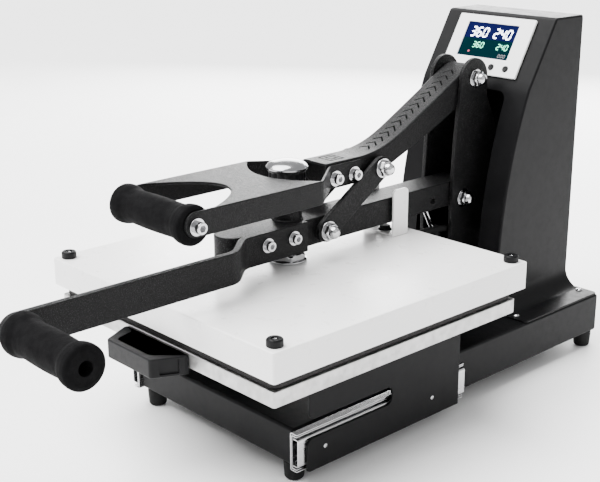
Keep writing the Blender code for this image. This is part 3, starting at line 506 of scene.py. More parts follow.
def make_base():
    """The folded base pan, open below inside its lip, with round folds."""
    step = BASE_STEP_Y
    corners = [(BASE_FRONT, BASE_BOTTOM), (BASE_BACK, BASE_BOTTOM), (BASE_BACK, BASE_TOP),
               (step, BASE_TOP), (step, BASE_STEP), (BASE_FRONT, BASE_STEP)]
    shell = plate("x", fillet(corners, 4.0, steps=5), -BASE_HALF, BASE_HALF, 3.0, 4)
    hollow = plate("x", fillet(inset(corners, SHEET), 3.0, steps=3), -BASE_HALF + SHEET,
                   BASE_HALF - SHEET, 1.2, 2)
    lip = 26.0
    bottom = plate("z", rectangle(-BASE_HALF + lip, BASE_HALF - lip, BASE_FRONT + lip,
                                  BASE_BACK - lip, 8), BASE_BOTTOM - 5, BASE_BOTTOM + 5)
    piece("base_shell", cut(shell, hollow, bottom), "black_coat", "root", ["base_pan"])
    profile = [(0, 0), (4.5, 0), (4.5, 3), (6, 3), (6, 0), (9.5, 0, 1), (11, 2, 1), (12, 17, 0.5),
               (12, BASE_BOTTOM - GAP, 0.8), (0, BASE_BOTTOM - GAP)]
    for place in ("front_left", "front_right", "rear_left", "rear_right"):
        low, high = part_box("foot_" + place)
        x = (low[0] + high[0]) / 2 / MM
        y = ((low[1] + high[1]) / 2 - FRONT) / MM
        piece("rubber_foot_" + place, lathe(profile, (x, y, 0), (0, 0, 1), 40), "rubber", "root",
              ["foot_" + place])
    lips = []
    for x in (-117, 117):
        for y in (497, 640):
            lips.append(pan_screw((x, y, BASE_TOP + GAP + SHEET + 0.5), (0, 0, 1), 4.4, 2.4))
    piece("flange_screws", gather(*lips), "chrome", "root")


def tower_front(z):
    """How far back the tower's front face lies at a height: sloping above, then a long curve."""
    if z >= FACE_LOW[1]:
        share = (z - FACE_LOW[1]) / (FACE_TOP[1] - FACE_LOW[1])
        return FACE_LOW[0] + share * (FACE_TOP[0] - FACE_LOW[0])
    share = max(z - BASE_TOP, 0.0) / (FACE_LOW[1] - BASE_TOP)
    return TOWER_FOOT + (FACE_LOW[0] - TOWER_FOOT) * share ** 2.45


def tower_solid(offset, back, bottom, top, fold):
    """The tower's form, or the hollow inside it, with round folds in front and above."""
    centre = BASE_TOP + GAP + SHEET + COVE
    reach = COVE + offset
    crown = top - fold
    levels = [(bottom + (centre - bottom) * (1 - cos(pi / 2 * i / 14)), 0.0) for i in range(14)]
    levels += [(centre + (FACE_LOW[1] - centre) * i / 34, 0.0) for i in range(34)]
    levels += [(FACE_LOW[1] + (crown - FACE_LOW[1]) * i / 8, 0.0) for i in range(9)]
    levels += [(crown + fold * sin(pi / 10 * k), fold * (1 - cos(pi / 10 * k))) for k in range(1, 6)]
    sections = []
    for z, shrink in levels:
        drop = min(max(centre - z, 0.0), COVE)
        half = TOWER_HALF + COVE - sqrt(max(reach ** 2 - drop ** 2, 0.0)) - shrink
        if z >= centre:
            half = TOWER_HALF - offset - shrink
        front = tower_front(z) + offset + shrink
        outline = fillet([(half, back), (-half, back), (-half, front, 3.2), (half, front, 3.2)], steps=6)
        sections.append([(x, y, z) for x, y in outline])
    return loft(sections)


def make_tower():
    """The tower's folded shell on its flange, with the arch that the arm comes out of."""
    floor = BASE_TOP + GAP
    shell = tower_solid(0.0, TOWER_BACK, floor + SHEET, TOWER_TOP, 3.0)
    flange = plate("z", rectangle(-FLANGE_HALF, FLANGE_HALF, 488, BASE_BACK - 2, 6),
                   floor, floor + SHEET + 0.5, 0.6, 2)
    inside = tower_solid(SHEET, TOWER_BACK + 20, floor + SHEET - 4, TOWER_TOP - SHEET, 1.2)
    low = plate("z", rectangle(-TOWER_HALF + SHEET, TOWER_HALF - SHEET, 460, TOWER_BACK + 20),
                floor - 5, floor + 20, 0.1, 1)
    opening = plate("y", fillet([(-55, floor - 8, 0), (55, floor - 8, 0), (55, 362, 12),
                                 (-55, 362, 12)], steps=8), 440, 600, 0.1, 1)
    piece("tower_casing", cut(fuse(shell, flange), inside, low, opening), "black_coat", "root",
          ["tower_shell"], smooth=28)
    back = TOWER_BACK + GAP
    cover = plate("y", rectangle(-TOWER_HALF + 1, TOWER_HALF - 1, BASE_TOP + 3.5, TOWER_TOP - 1, 4),
                  back, back + SHEET, 0.5)
    holes = [plate("y", rectangle(35.7, 64.3, 103.7, 124.3, 1), back - 5, back + 5, 0.1, 1),
             plate("y", rectangle(39.7, 60.3, 153.7, 166.3, 0.5), back - 5, back + 5, 0.1, 1)]
    piece("rear_cover", cut(cover, *holes), "black_coat", "root", ["tower_back_cover"])
    screws = [pan_screw((x, back + SHEET, z), (0, 1, 0), 3.6, 2.0)
              for x in (-79, 79) for z in (90, 208, 326, 444)]
    piece("rear_cover_screws", gather(*screws), "zinc", "root")


def make_rear_fittings():
    """The mains inlet with its three pins, and the rocker switch."""
    back = TOWER_BACK + GAP + SHEET + GAP
    face = plate("y", rectangle(32, 68, 100, 128, 3), back, back + 2.5, 0.8)
    block = plate("y", rectangle(36, 64, 104, 124, 2), back - 22, back + 1, 0.4)
    corner = fillet([(39.5, 107, 1), (60.5, 107, 1), (60.5, 117, 1), (56.5, 121, 1), (43.5, 121, 1),
                     (39.5, 117, 1)], steps=3)
    recess = plate("y", corner, back - 14, back + 6, 0.2, 1)
    piece("mains_inlet", cut(fuse(block, face), recess), "black_plastic", "root", ["power_inlet"])
    pins = [plate("y", rectangle(x - 1, x + 1, z - 2.5, z + 2.5, 0.5), back - 14.5, back - 3, 0.4)
            for x, z in ((43.5, 112), (50, 115.5), (56.5, 112))]
    piece("mains_inlet_pins", gather(*pins), "chrome", "root")
    tip = radians(-7)
    centre = (TOWER_BACK + 1.3, 160.0)
    corners = [(-4.6, -6, 0.2), (4.0, -6, 0.8), (3.2, 0, 20), (4.0, 6, 0.8), (-4.6, 6, 0.2)]
    outline = [(centre[0] + y * cos(tip) - z * sin(tip), centre[1] + y * sin(tip) + z * cos(tip), r)
               for y, z, r in corners]
    piece("switch_rocker", plate("x", fillet(outline), 40, 60, 0.6), "black_plastic",
          "power_switch", ["power_switch"])


def make_frame_plates():
    """The two upright plates whose ears carry the lever."""
    outline = ([(466, BASE_TOP + GAP), (466, 240), (470, 310), (477.4, 376)]
               + arc(LEVER_PIVOT, 26.0, 180, 0, 36)[1:]
               + [(530, 354), (548, 320), (562, 240), (562, BASE_TOP + GAP)])
    for side, place in ((-1, "left"), (1, "right")):
        low, high = sorted((side * FRAME_INNER, side * FRAME_OUTER))
        piece("ear_plate_" + place, plate("x", outline, low, high, 1.0), "arm_coat", "root",
              ["frame_plate_" + place])
    for name, pivot in (("lever_pivot", LEVER_PIVOT), ("arm_pivot", ARM_PIVOT)):
        half = FRAME_OUTER + GAP
        shank = lathe([(0, -half - 1), (6, -half - 1), (6, half + 1), (0, half + 1)],
                      (0, *pivot), (1, 0, 0), 32)
        piece(name + "_fastener", gather(shank, paired(acorn_nut, (half, *pivot))), "chrome", "root",
              [name + "_bolt"])
    places = [(FRAME_OUTER, y, 150) for y in (476, 548)]
    piece("frame_screws", paired(cap_screw, *places), "chrome", "root")


# ---------------------------------------------------------------- control panel

SEGMENTS = {"0": "abcdef", "2": "abged", "3": "abgcd", "4": "fgbc", "6": "afgedc"}
SCREEN_LEFT, SCREEN_RIGHT, SCREEN_HIGH, SCREEN_LOW = -43.7, 39.7, 10.7, 59.7


def screen_prism(corners, out_low, out_high):
    """A thin block on the screen through (share across, share down) corners."""
    sections = []
    for out in (out_low, out_high):
        sections.append([panel_point(SCREEN_LEFT + (SCREEN_RIGHT - SCREEN_LEFT) * u,
                                     SCREEN_HIGH + (SCREEN_LOW - SCREEN_HIGH) * v, out)
                         for u, v in corners])
    return loft(sections)


def digit(character, left, top, width, height, out):
    """A seven-segment figure that leans a little to the right."""
    thick = 0.16 * height
    lean = 0.12 * height
    ends = {"a": ((0, 0), (1, 0)), "b": ((1, 0), (1, 0.5)), "c": ((1, 0.5), (1, 1)),
            "d": ((0, 1), (1, 1)), "e": ((0, 0.5), (0, 1)), "f": ((0, 0), (0, 0.5)),
            "g": ((0, 0.5), (1, 0.5))}
    aspect = (SCREEN_RIGHT - SCREEN_LEFT) / (SCREEN_LOW - SCREEN_HIGH)
    bars = []
    for name in SEGMENTS[character]:
        (u0, v0), (u1, v1) = ends[name]
        start = Vector((u0 * width * aspect, v0 * height))
        stop = Vector((u1 * width * aspect, v1 * height))
        along = (stop - start).normalized()
        side = Vector((-along.y, along.x)) * thick / 2
        start += along * thick * 0.14
        stop -= along * thick * 0.14
        tip = along * thick / 2
        loop = [start, start + tip + side, stop - tip + side, stop, stop - tip - side, start + tip - side]
        corners = [(left + (p.x + lean * (1 - p.y / height)) / aspect, top + p.y) for p in loop]
        bars.append(screen_prism(corners, out, out + 0.12))
    return bars


def make_controls():
    """The white front sheet, the display with its figures, and the two buttons."""
    row, places = 71.7, {"set_button": 19.8, "mode_button": 43.2}
    sheet = plate(panel_point, rectangle(-63, 63, 0, 83, 2.0), GAP, 3.5, 0.6)
    window = plate(panel_point, rectangle(-44.0, 40.0, 10.4, 60.0, 1.0), -3, 8, 0.1, 1)
    wells = [lathe([(0, -3), (4.6, -3), (4.6, 8), (0, 8)], panel_point(x, row, 0), PANEL_OUT, 40)
             for x in places.values()]
    piece("front_sheet", cut(sheet, window, *wells), "panel_white", "root", ["panel_bezel"])
    glass = plate(panel_point, rectangle(SCREEN_LEFT, SCREEN_RIGHT, SCREEN_HIGH, SCREEN_LOW, 0.8),
                  GAP, 2.7, 0.2)
    piece("display_glass", glass, "screen", "root", ["panel_screen"])
    lower = screen_prism([(0.012, 0.47), (0.988, 0.47), (0.988, 0.985), (0.012, 0.985)], 2.71, 2.76)
    piece("display_lower_half", lower, "screen_low", "root")
    rows = [("digit_white", "360", 0.11, 0.15, 0.078, 0.26, 0.122),
            ("digit_white", "240", 0.575, 0.15, 0.078, 0.26, 0.122),
            ("digit_green", "360", 0.235, 0.575, 0.05, 0.155, 0.078),
            ("digit_green", "240", 0.715, 0.575, 0.05, 0.155, 0.078),
            ("digit_dim", "000", 0.80, 0.86, 0.03, 0.085, 0.052)]
    for index, (look, figures, left, top, width, height, pitch) in enumerate(rows):
        bars = []
        for i, character in enumerate(figures):
            bars += digit(character, left + i * pitch, top, width, height, 2.78)
        piece(f"display_figures_{index + 1}", gather(*bars), look, "root")
    lamp = screen_prism([(0.2 + 0.018 * cos(pi / 6 * k), 0.86 + 0.03 * sin(pi / 6 * k))
                         for k in range(12)], 2.78, 2.9)
    piece("display_lamp", lamp, "lamp_red", "root")
    for name, x in places.items():
        cap = lathe([(0, 1.7), (4.0, 1.7), (4.0, 5.2, 0.8), (2.6, 5.0, 0.6), (0, 4.7)],
                    panel_point(x, row, 0), PANEL_OUT, 40)
        piece(name + "_cap", cap, "black_plastic", name, [name])
    board = plate(panel_point, rectangle(-52, 52, 14, 70, 2), -16, -14.4, 0.2)
    parts = [board]
    for x, down, wide, long, tall in ((-30, 30, 8, 12, 3), (10, 42, 14, 10, 2), (34, 24, 5, 9, 7),
                                      (-8, 60, 20, 4, 8), (30, 60, 9, 4, 8)):
        parts.append(plate(panel_point, rectangle(x - wide, x + wide, down - long / 2,
                                                  down + long / 2, 0.6), -14.3, -14.3 + tall, 0.3))
    piece("control_board", gather(*parts), "circuit", "root", ["controller_board"])


# ---------------------------------------------------------------- lever, yoke and links

def smooth_line(stations, y):
    """Catmull-Rom interpolation of the values that go with y."""
    index = max(i for i in range(len(stations) - 1) if stations[i][0] <= y)
    before, first = stations[max(index - 1, 0)], stations[index]
    second, after = stations[index + 1], stations[min(index + 2, len(stations) - 1)]
    t = (y - first[0]) / (second[0] - first[0])
    values = []
    for k in range(1, len(first)):
        left = (second[k] - before[k]) / max(second[0] - before[0], 1) * (second[0] - first[0])
        right = (after[k] - first[k]) / max(after[0] - first[0], 1) * (second[0] - first[0])
        values.append((2 * t ** 3 - 3 * t ** 2 + 1) * first[k] + (t ** 3 - 2 * t ** 2 + t) * left
                      + (3 * t ** 2 - 2 * t ** 3) * second[k] + (t ** 3 - t ** 2) * right)
    return values


CHEVRON_FIRST, CHEVRON_LAST, CHEVRONS, SQUARE_MARK = 334, 488, 15, 270


def groove_depth(x, run, marks, square):
    """How deep the top plate is pressed in at x, and at a run along it: chevrons and a square."""
    width, depth = 1.5, 0.9
    nearest = 9.0
    if abs(x) <= 8.5:
        nearest = min(abs(run - (mark - abs(x) * 0.9)) * 0.74 for mark in marks)
    for half in (10.5, 5.0):
        edge = max(abs(x), abs(run - square))
        nearest = min(nearest, abs(edge - half) * (1.0 if half > 6 else 1.3))
    share = min(max((width / 2 + 0.35 - nearest) / 0.7, 0.0), 1.0)
    return depth * share * share * (3 - 2 * share)


def paint_grooves(mesh, marks, lines):
    """Give the pressed marks' floors a darker, duller finish: painted shade in the grooves."""
    mesh.materials.append(LOOKS["pressed"])
    places, runs = [line[0] for line in lines], [line[3] for line in lines]
    square = float(np.interp(SQUARE_MARK, places, runs))
    for face in mesh.polygons:
        if face.normal.z < 0.3 or abs(face.center.x / MM) > 11.5:
            continue
        y = (face.center.y - FRONT) / MM
        run = float(np.interp(y, places, runs))
        if y < 496 and groove_depth(face.center.x / MM, run, marks, square) > 0.45:
            face.material_index = 1


def make_lever():
    """The curved lever: a channel with a square and a row of chevrons pressed into its top."""
    stations = [(243, 308.5, 277), (285, 308.5, 277), (305, 308.7, 278.5), (320, 310, 281),
                (335, 312.8, 284.5), (352, 318, 290), (370, 325.6, 297), (390, 336, 305),
                (420, 352.2, 317.5), (450, 368.6, 331), (475, 382.4, 343.5), (490, 390.5, 352),
                (500, 395, 358.5), (508, 396.5, 363), (515, 394, 367.5), (519.5, 389, 373)]
    wall, fold = 3.0, 2.4
    lines = []
    run, y, last = 0.0, stations[0][0], None
    while y < stations[-1][0] - 0.2:
        top, bottom = smooth_line(stations, y)
        if last:
            run += hypot(y - last[0], top - last[1])
        lines.append((y, top, bottom, run))
        last = (y, top)
        slope = (smooth_line(stations, y + 0.2)[0] - top) / 0.2
        y += 0.62 / sqrt(1 + slope * slope)
    runs = {round(line[0]): line[3] for line in lines}
    first_mark, last_mark, count = runs[CHEVRON_FIRST], runs[CHEVRON_LAST], CHEVRONS
    marks = [first_mark + (last_mark - first_mark) * i / (count - 1) for i in range(count)]
    flat = LEVER_HALF - fold
    across_top = [-flat + 2 * flat * i / 56 for i in range(57)]
    sections = []
    for y, top, bottom, run in lines:
        inner = LEVER_HALF - wall
        under = max(top - wall, bottom + 0.5)
        corner = arc((-flat, top - fold), fold, 180, 90, 5)[:-1]
        section = [(-LEVER_HALF, bottom)] + corner
        section += [(x, top - groove_depth(x, run, marks, runs[SQUARE_MARK])) for x in across_top]
        section += [(-x, z) for x, z in reversed(corner)] + [(LEVER_HALF, bottom)]
        section += [(inner, bottom), (inner, under), (-inner, under), (-inner, bottom)]
        sections.append([(x, y, z) for x, z in section])
    # the lower front corner is cut back, so that the knob clears it as the press opens
    corner = plate("x", [(240, 270), (256, 270), (256, 276), (242, 290), (240, 290)], -40, 40, 0.1, 1)
    channel = piece("lever_channel", cut(loft(sections), corner), "arm_coat", "lever", ["lever_arm"],
                    smooth=40)
    paint_grooves(channel.data, marks, lines)
    piece("toggle_pin", lathe([(0, -21.4), (6, -21.4, 0.6), (6, 21.4, 0.6), (0, 21.4)],
                              (0, *TOGGLE_TOP), (1, 0, 0), 32), "chrome", "lever", ["toggle_pin_upper"])


def make_yoke():
    """The folded yoke: two legs that bend in to the lever, under a plate with two arches."""
    inner = LEVER_HALF + GAP + YOKE_WALL / 2
    outer = YOKE_HALF - YOKE_WALL / 2
    middle, half = (YOKE_TOP + YOKE_BOTTOM) / 2, (YOKE_TOP - YOKE_BOTTOM) / 2
    legs = []
    for side in (-1, 1):
        plan = fillet([(inner, 298), (inner, 246.5, 9), (outer, 193.5, 9), (outer, UPPER_GRIP[0])],
                      closed=False, steps=7)
        legs.append(strap([(side * x, y) for x, y in plan], middle, half, YOKE_WALL, 1.2, True))
    reach = YOKE_HALF - 0.05
    front = [(x, 104 - 62 * (x / 63) ** 2) for x in range(-63, 64, 3)]
    rear = [(x, 161 + 31 * (x / 63) ** 2) for x in range(63, -64, -3)]
    top = plate("z", [(-reach, 34)] + front + [(reach, 34), (reach, 193)] + rear + [(-reach, 193)],
                YOKE_TOP - YOKE_WALL, YOKE_TOP - 0.04, 0.9)
    # a shallow relief under the bends, for the knob's rim
    relief = plate("x", [(238, 276), (252.5, 276), (249, 280.2), (241, 280.2)], -33, 33, 0.1, 1)
    piece("yoke_fork", cut(fuse(top, *legs), relief), "arm_coat", "lever", ["yoke"])
    place = (LEVER_HALF + GAP + YOKE_WALL, 255, 290), (LEVER_HALF + GAP + YOKE_WALL, 286, 290)
    piece("yoke_screws", paired(cap_screw, *place), "chrome", "lever")


def grip_mesh(start, length, bore, seed):
    """A foam grip with swollen ends and a slightly uneven skin."""
    end = [(bore, 0), (17.5, 0, 1.5), (21.8, 1.6, 3), (22.1, 7, 6), (21.4, 13, 10), (19.2, 19, 10),
           (18.6, 27, 20)]
    mirror = [(p[0], length - p[1], *p[2:]) for p in reversed(end)]
    rows = []
    middle = [(18.6 + 0.7 * sin(pi * i / 12), 27 + (length - 54) * i / 12) for i in range(1, 12)]
    rows = end + middle + mirror
    wobble = lambda angle, reach, height: reach + (0.12 * noise.noise(
        Vector((cos(angle) * 2.2, sin(angle) * 2.2, height / 7 + seed))) if reach > bore + 1 else 0)
    return lathe(rows, start, (1, 0, 0), 72, closed=True, shape=wobble)


def make_grips():
    """Both foam grips, with the hardware that holds them."""
    length = 2 * (YOKE_HALF - YOKE_WALL - GAP)
    upper = piece("upper_foam_grip", grip_mesh((-length / 2, *UPPER_GRIP), length, 6.3, 3.0),
                  "foam", "lever", ["upper_grip"], smooth=50)
    shank = lathe([(0, -67), (6, -67), (6, 67), (0, 67)], (0, *UPPER_GRIP), (1, 0, 0), 32)
    heads = paired(lambda start, way: cap_screw(start, way, 6.5, 8.6, 9.5, 3.6),
                   (YOKE_HALF + GAP, *UPPER_GRIP))
    piece("upper_grip_fasteners", gather(shank, heads), "chrome", "lever", ["upper_grip_rod"])
    lower = piece("lower_foam_grip", grip_mesh((BAR_OUTER + 1.3, *LOWER_GRIP), 112.0, 7.4, 8.0),
                  "foam", "arm", ["lower_grip"], smooth=50)
    profile = [(0, 41), (8.9, 41.2), (9.3, 42), (9.3, 51), (8.6, 51.7), (5, 51.7), (5, 61), (6, 61),
               (6, 158, 0.6), (0, 158)]
    bolt = lathe(profile, (0, *LOWER_GRIP), (1, 0, 0), 48, hexes=[(41.1, 51.6, 8.2)])
    well = lathe([(0, 150), (5, 150), (5, 165), (0, 165)], (0, *LOWER_GRIP), (1, 0, 0), 36,
                 hexes=[(140, 170, 3.6)])
    piece("lower_grip_fastener", cut(bolt, well), "chrome", "arm", ["lower_grip_bolt"])


def make_links():
    """The two toggle links with their domed nuts, and the bolt through their lower ends."""
    angle = degrees(atan2(TOGGLE_TOP[1] - TOGGLE_BOTTOM[1], TOGGLE_TOP[0] - TOGGLE_BOTTOM[0]))
    outline = (arc(TOGGLE_TOP, 14.0, angle - 90, angle + 90, 28)
               + arc(TOGGLE_BOTTOM, 14.0, angle + 90, angle + 270, 28))
    half = LINK_OUTER + GAP
    for side, place in ((-1, "left"), (1, "right")):
        low, high = sorted((side * LINK_INNER, side * LINK_OUTER))
        link = plate("x", outline, low, high, 0.8)
        hole = lathe([(0, -60), (6.3, -60), (6.3, 60), (0, 60)], (0, *TOGGLE_TOP), (1, 0, 0), 32)
        piece("toggle_link_" + place, cut(link, hole), "arm_coat", "links", ["link_" + place])
        piece("toggle_nut_" + place, acorn_nut((side * half, *TOGGLE_TOP), (side, 0, 0)), "chrome",
              "links", ["link_nut_" + place])
    shank = lathe([(0, -half - 1), (6, -half - 1), (6, half + 1), (0, half + 1)],
                  (0, *TOGGLE_BOTTOM), (1, 0, 0), 32)
    piece("toggle_bolt", gather(shank, paired(acorn_nut, (half, *TOGGLE_BOTTOM))), "chrome", "links",
          ["toggle_bolt_lower"])


# ---------------------------------------------------------------- lower arm

def make_arm():
    """The lower arm with its screw boss, and the handle bar bolted to its side."""
    top, bottom, rear, wall = 247.0, 214.0, 502.0, 4.0
    nose = (0.0, 94 + ARM_HALF)
    outer = arc(nose, ARM_HALF, 180, 360, 40) + [(ARM_HALF, rear), (-ARM_HALF, rear)]
    reach = ARM_HALF - wall
    inner = arc(nose, reach, 180, 360, 30) + [(reach, rear + 9), (-reach, rear + 9)]
    boss = lathe([(0, top - 2), (17, top - 2), (17, top + 12, 1.6), (0, top + 12)],
                 (0, SCREW_Y, 0), (0, 0, 1), 64)
    weld = lathe([(0, top - 1), (19, top - 1), (18.6, top + 1.0, 0.8), (16.5, top + 2.6), (0, top + 2.6)],
                 (0, SCREW_Y, 0), (0, 0, 1), 64,
                 shape=lambda angle, far, height: far + 0.35 * sin(22 * angle) * (far > 16))
    bore = lathe([(0, top - 10), (10.4, top - 10), (10.4, top + 20), (0, top + 20)],
                 (0, SCREW_Y, 0), (0, 0, 1), 48)
    body = cut(fuse(plate("z", outer, bottom, top, 1.6, 4), weld, boss),
               plate("z", inner, bottom - 5, top - wall, 0.4, 1), bore)
    piece("lower_arm_channel", body, "arm_coat", "arm", ["lower_arm"])
    middle = ARM_HALF + GAP + 4.0
    path = fillet([(middle, 205), (middle, 108.5, 24), ((BAR_INNER + BAR_OUTER) / 2, 73.5, 24),
                   ((BAR_INNER + BAR_OUTER) / 2, LOWER_GRIP[0])], closed=False, steps=12)
    piece("handle_bar", strap(path, LOWER_GRIP[1], 18.0, 8.0, 1.0, True), "arm_coat", "arm",
          ["lower_handle_bar"])
    bolts = [cap_screw((ARM_HALF + GAP + 8, y, 233), (1, 0, 0), 6.0, 6.5, 8.6, 3.0) for y in (143, 183)]
    piece("handle_bar_bolts", gather(*bolts), "chrome", "arm")


def make_gas_spring():
    """The gas spring between the base and the arm."""
    base, top = Vector((0, *SPRING_BOTTOM)), Vector((0, *SPRING_TOP))
    along = (top - base).normalized()
    length = (top - base).length
    bore = lathe([(0, 28), (4.6, 28), (4.6, 100), (0, 100)], base, along, 32)
    tube = lathe([(0, 6), (7, 6, 1), (10, 10, 1), (10, 88, 1.6), (8.4, 92, 1), (0, 92)], base, along, 48)
    eye = lathe([(4.2, -6, 0.4), (9, -6, 0.8), (9, 6, 0.8), (4.2, 6, 0.4)], base, (1, 0, 0), 40,
                closed=True)
    piece("spring_cylinder_tube", gather(cut(tube, bore), eye), "black_plastic", "spring_cylinder",
          ["gas_spring_cylinder"])
    shank = lathe([(0, 58), (4, 58), (4, length - 9), (0, length - 9)], base, along, 36)
    ring = lathe([(7.8, -5, 0.4), (11, -5, 0.8), (11, 5, 0.8), (7.8, 5, 0.4)], top, (1, 0, 0), 48,
                 closed=True)
    piece("spring_piston_rod", gather(shank, ring), "chrome", "spring_rod", ["gas_spring_rod"])


# ---------------------------------------------------------------- upper platen and screw

def make_cover():
    """The white cover: a folded tray turned over, its walls open below."""
    half, corner, edge = PLATEN / 2, 3.0, 1.6
    outer = rectangle(-half, half, 0, PLATEN, corner, 8)
    inner = rectangle(-half + SHEET, half - SHEET, SHEET, PLATEN - SHEET, corner - SHEET, 8)
    sections = [[(x, y, COVER_TOP - SHEET) for x, y in inner], [(x, y, COVER_BOTTOM) for x, y in inner]]
    sections.append([(x, y, COVER_BOTTOM) for x, y in outer])
    for k in range(7):
        angle = pi / 2 * k / 6
        sections.append([(x, y, COVER_TOP - edge + edge * sin(angle))
                         for x, y in inset(outer, edge * (1 - cos(angle)))])
    piece("cover_tray", loft(sections), "white_coat", "upper_platen", ["platen_cover"])
    piece("heated_plate", slab((-195, 195), (5, 395), (161.8, 174), 6, 0.8), "aluminium",
          "upper_platen", ["heat_platen"])
    blanket = slab((-190, 190), (10, 390), (174.3, 188), 6, 3.0)
    piece("fibre_blanket", blanket, "insulation", "upper_platen", ["insulation_blanket"])


def make_cover_fittings():
    """The corner nuts, the chrome collar, the guide bracket and the gland on the cover."""
    low = COVER_TOP + GAP

    def knurl(angle, far, height):
        return far - 0.25 * (0.5 + 0.5 * cos(36 * angle)) if far > 8.4 else far
    ring = [(4.2, low), (8.8, low, 0.3), (8.8, low + 6.6, 0.7), (7.6, low + 8, 0.5), (4.2, low + 8)]
    for place in ("front_left", "front_right", "rear_left", "rear_right"):
        lo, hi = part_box("cover_nut_" + place)
        x, y = (lo[0] + hi[0]) / 2 / MM, ((lo[1] + hi[1]) / 2 - FRONT) / MM
        piece("corner_nut_" + place, lathe(ring, (x, y, 0), (0, 0, 1), 144, closed=True, shape=knurl),
              "black_plastic", "upper_platen", ["cover_nut_" + place])
        stud = lathe([(0, low), (4.1, low), (4.1, low + 6.4, 0.8), (2.4, low + 6.8, 0.3),
                      (2.2, low + 5.4), (0, low + 5.4)], (x, y, 0), (0, 0, 1), 32)
        piece("corner_stud_" + place, stud, "chrome", "upper_platen")
    collar = lathe([(0, low), (23, low, 0.6), (23, low + 2.6, 1.0), (20.6, low + 3.5, 0.5),
                    (20.6, low + 3.51), (21.6, low + 4.6), (21.6, 204.8), (19.6, 206.2), (0, 206.2)],
                   (0, SCREW_Y, 0), (0, 0, 1), 96, hexes=[(low + 3.505, 205.9, 19.0)])
    piece("collar_hexagon", collar, "chrome", "upper_platen", ["screw_collar"])
    parts = [plate("z", rectangle(-26.5, 26.5, 354, 381, 2), low, low + 2.5, 0.5)]
    for side in (-1, 1):
        outline = fillet([(354, low, 0), (381, low, 0), (381, 257, 6), (354, 257, 6)], steps=7)
        parts.append(plate("x", outline, *sorted((side * 23.5, side * 26.5)), 0.7))
    well = lathe([(0, low - 5), (9, low - 5), (9, low + 8), (0, low + 8)], (0, 367, 0), (0, 0, 1), 48)
    piece("arm_guide", cut(fuse(*parts), well), "white_coat", "upper_platen", ["guide_bracket"])
    gland = lathe([(0, low), (8.4, low), (8.4, low + 4, 0.4), (7.2, low + 4.4), (6.5, low + 8, 0.8),
                   (0, low + 8)], (0, 367, 0), (0, 0, 1), 48, hexes=[(low + 0.1, low + 4.2, 7.6)])
    piece("sensor_gland_nut", gland, "rubber", "upper_platen", ["sensor_gland"])


def make_screw():
    """The pressure screw with its helical thread, and the fluted knob with its polished cap."""
    pitch, low, high = 2.5, 208.0, 282.6
    levels = int((high - low) / 0.36)

    def thread(angle, far, height):
        phase = (height / pitch - angle / (2 * pi)) % 1.0
        return far - 1.1 * abs(2 * phase - 1) if far > 9 else far
    profile = [(0, 206.6), (8, 206.6, 0.4), (9.6, low)]
    profile += [(10, low + (high - low) * i / levels) for i in range(1, levels)] + [(8, high), (0, high)]
    piece("screw_thread", lathe(profile, (0, SCREW_Y, 0), (0, 0, 1), 48, shape=thread), "zinc",
          "pressure_screw", ["pressure_screw"], smooth=60)

    def flute(angle, far, height):
        wave = 0.5 + 0.5 * cos(14 * angle)
        return far - 1.6 * wave ** 2 if far > 21.5 and height < 305.5 else far
    rings = [(8, 283.4), (20, 283.4, 1.2), (22, 285.5, 1), (22, 305, 1.5), (23.8, 307.4, 1),
             (23.8, 308.4), (0, 308.4)]
    body = lathe([(0, 283.4)] + rings, (0, SCREW_Y, 0), (0, 0, 1), 168, shape=flute)
    piece("knob_body", body, "black_plastic", "pressure_screw", ["pressure_knob"])
    dome = [(0, 308.5), (24.2, 308.5, 0.5), (24.8, 310.6, 0.7)]
    dome += [(24.0 * cos(radians(a)), 310.6 + 8.2 * sin(radians(a))) for a in range(14, 90, 7)]
    piece("knob_cap", lathe(dome + [(0, 318.8)], (0, SCREW_Y, 0), (0, 0, 1), 96), "dome",
          "pressure_screw", smooth=30)


def make_sleeve():
    """The heater lead's braided sleeve, bending from the cover into the tower."""
    start, bend, stop = Vector((15, 401, 184)), Vector((15, 450, 190)), Vector((15, 540, 168))
    count, sides = 90, 24
    sections = []
    for i in range(count):
        t = i / (count - 1)
        here = start * (1 - t) ** 2 + bend * 2 * t * (1 - t) + stop * t ** 2
        way = ((bend - start) * (1 - t) + (stop - bend) * t).normalized()
        side = Vector((1, 0, 0))
        up = side.cross(way)
        ring = []
        for k in range(sides):
            angle = 2 * pi * k / sides
            far = 4.3 + 0.2 * sin(i * pi / 2.5 + (k % 2) * pi)
            ring.append(tuple(here + side * far * cos(angle) + up * far * sin(angle)))
        sections.append(ring)
    sleeve = piece("braided_sleeve", loft(sections), "rubber", None, ["heater_sleeve"], smooth=60)
    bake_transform(sleeve)


# ---------------------------------------------------------------- drawer

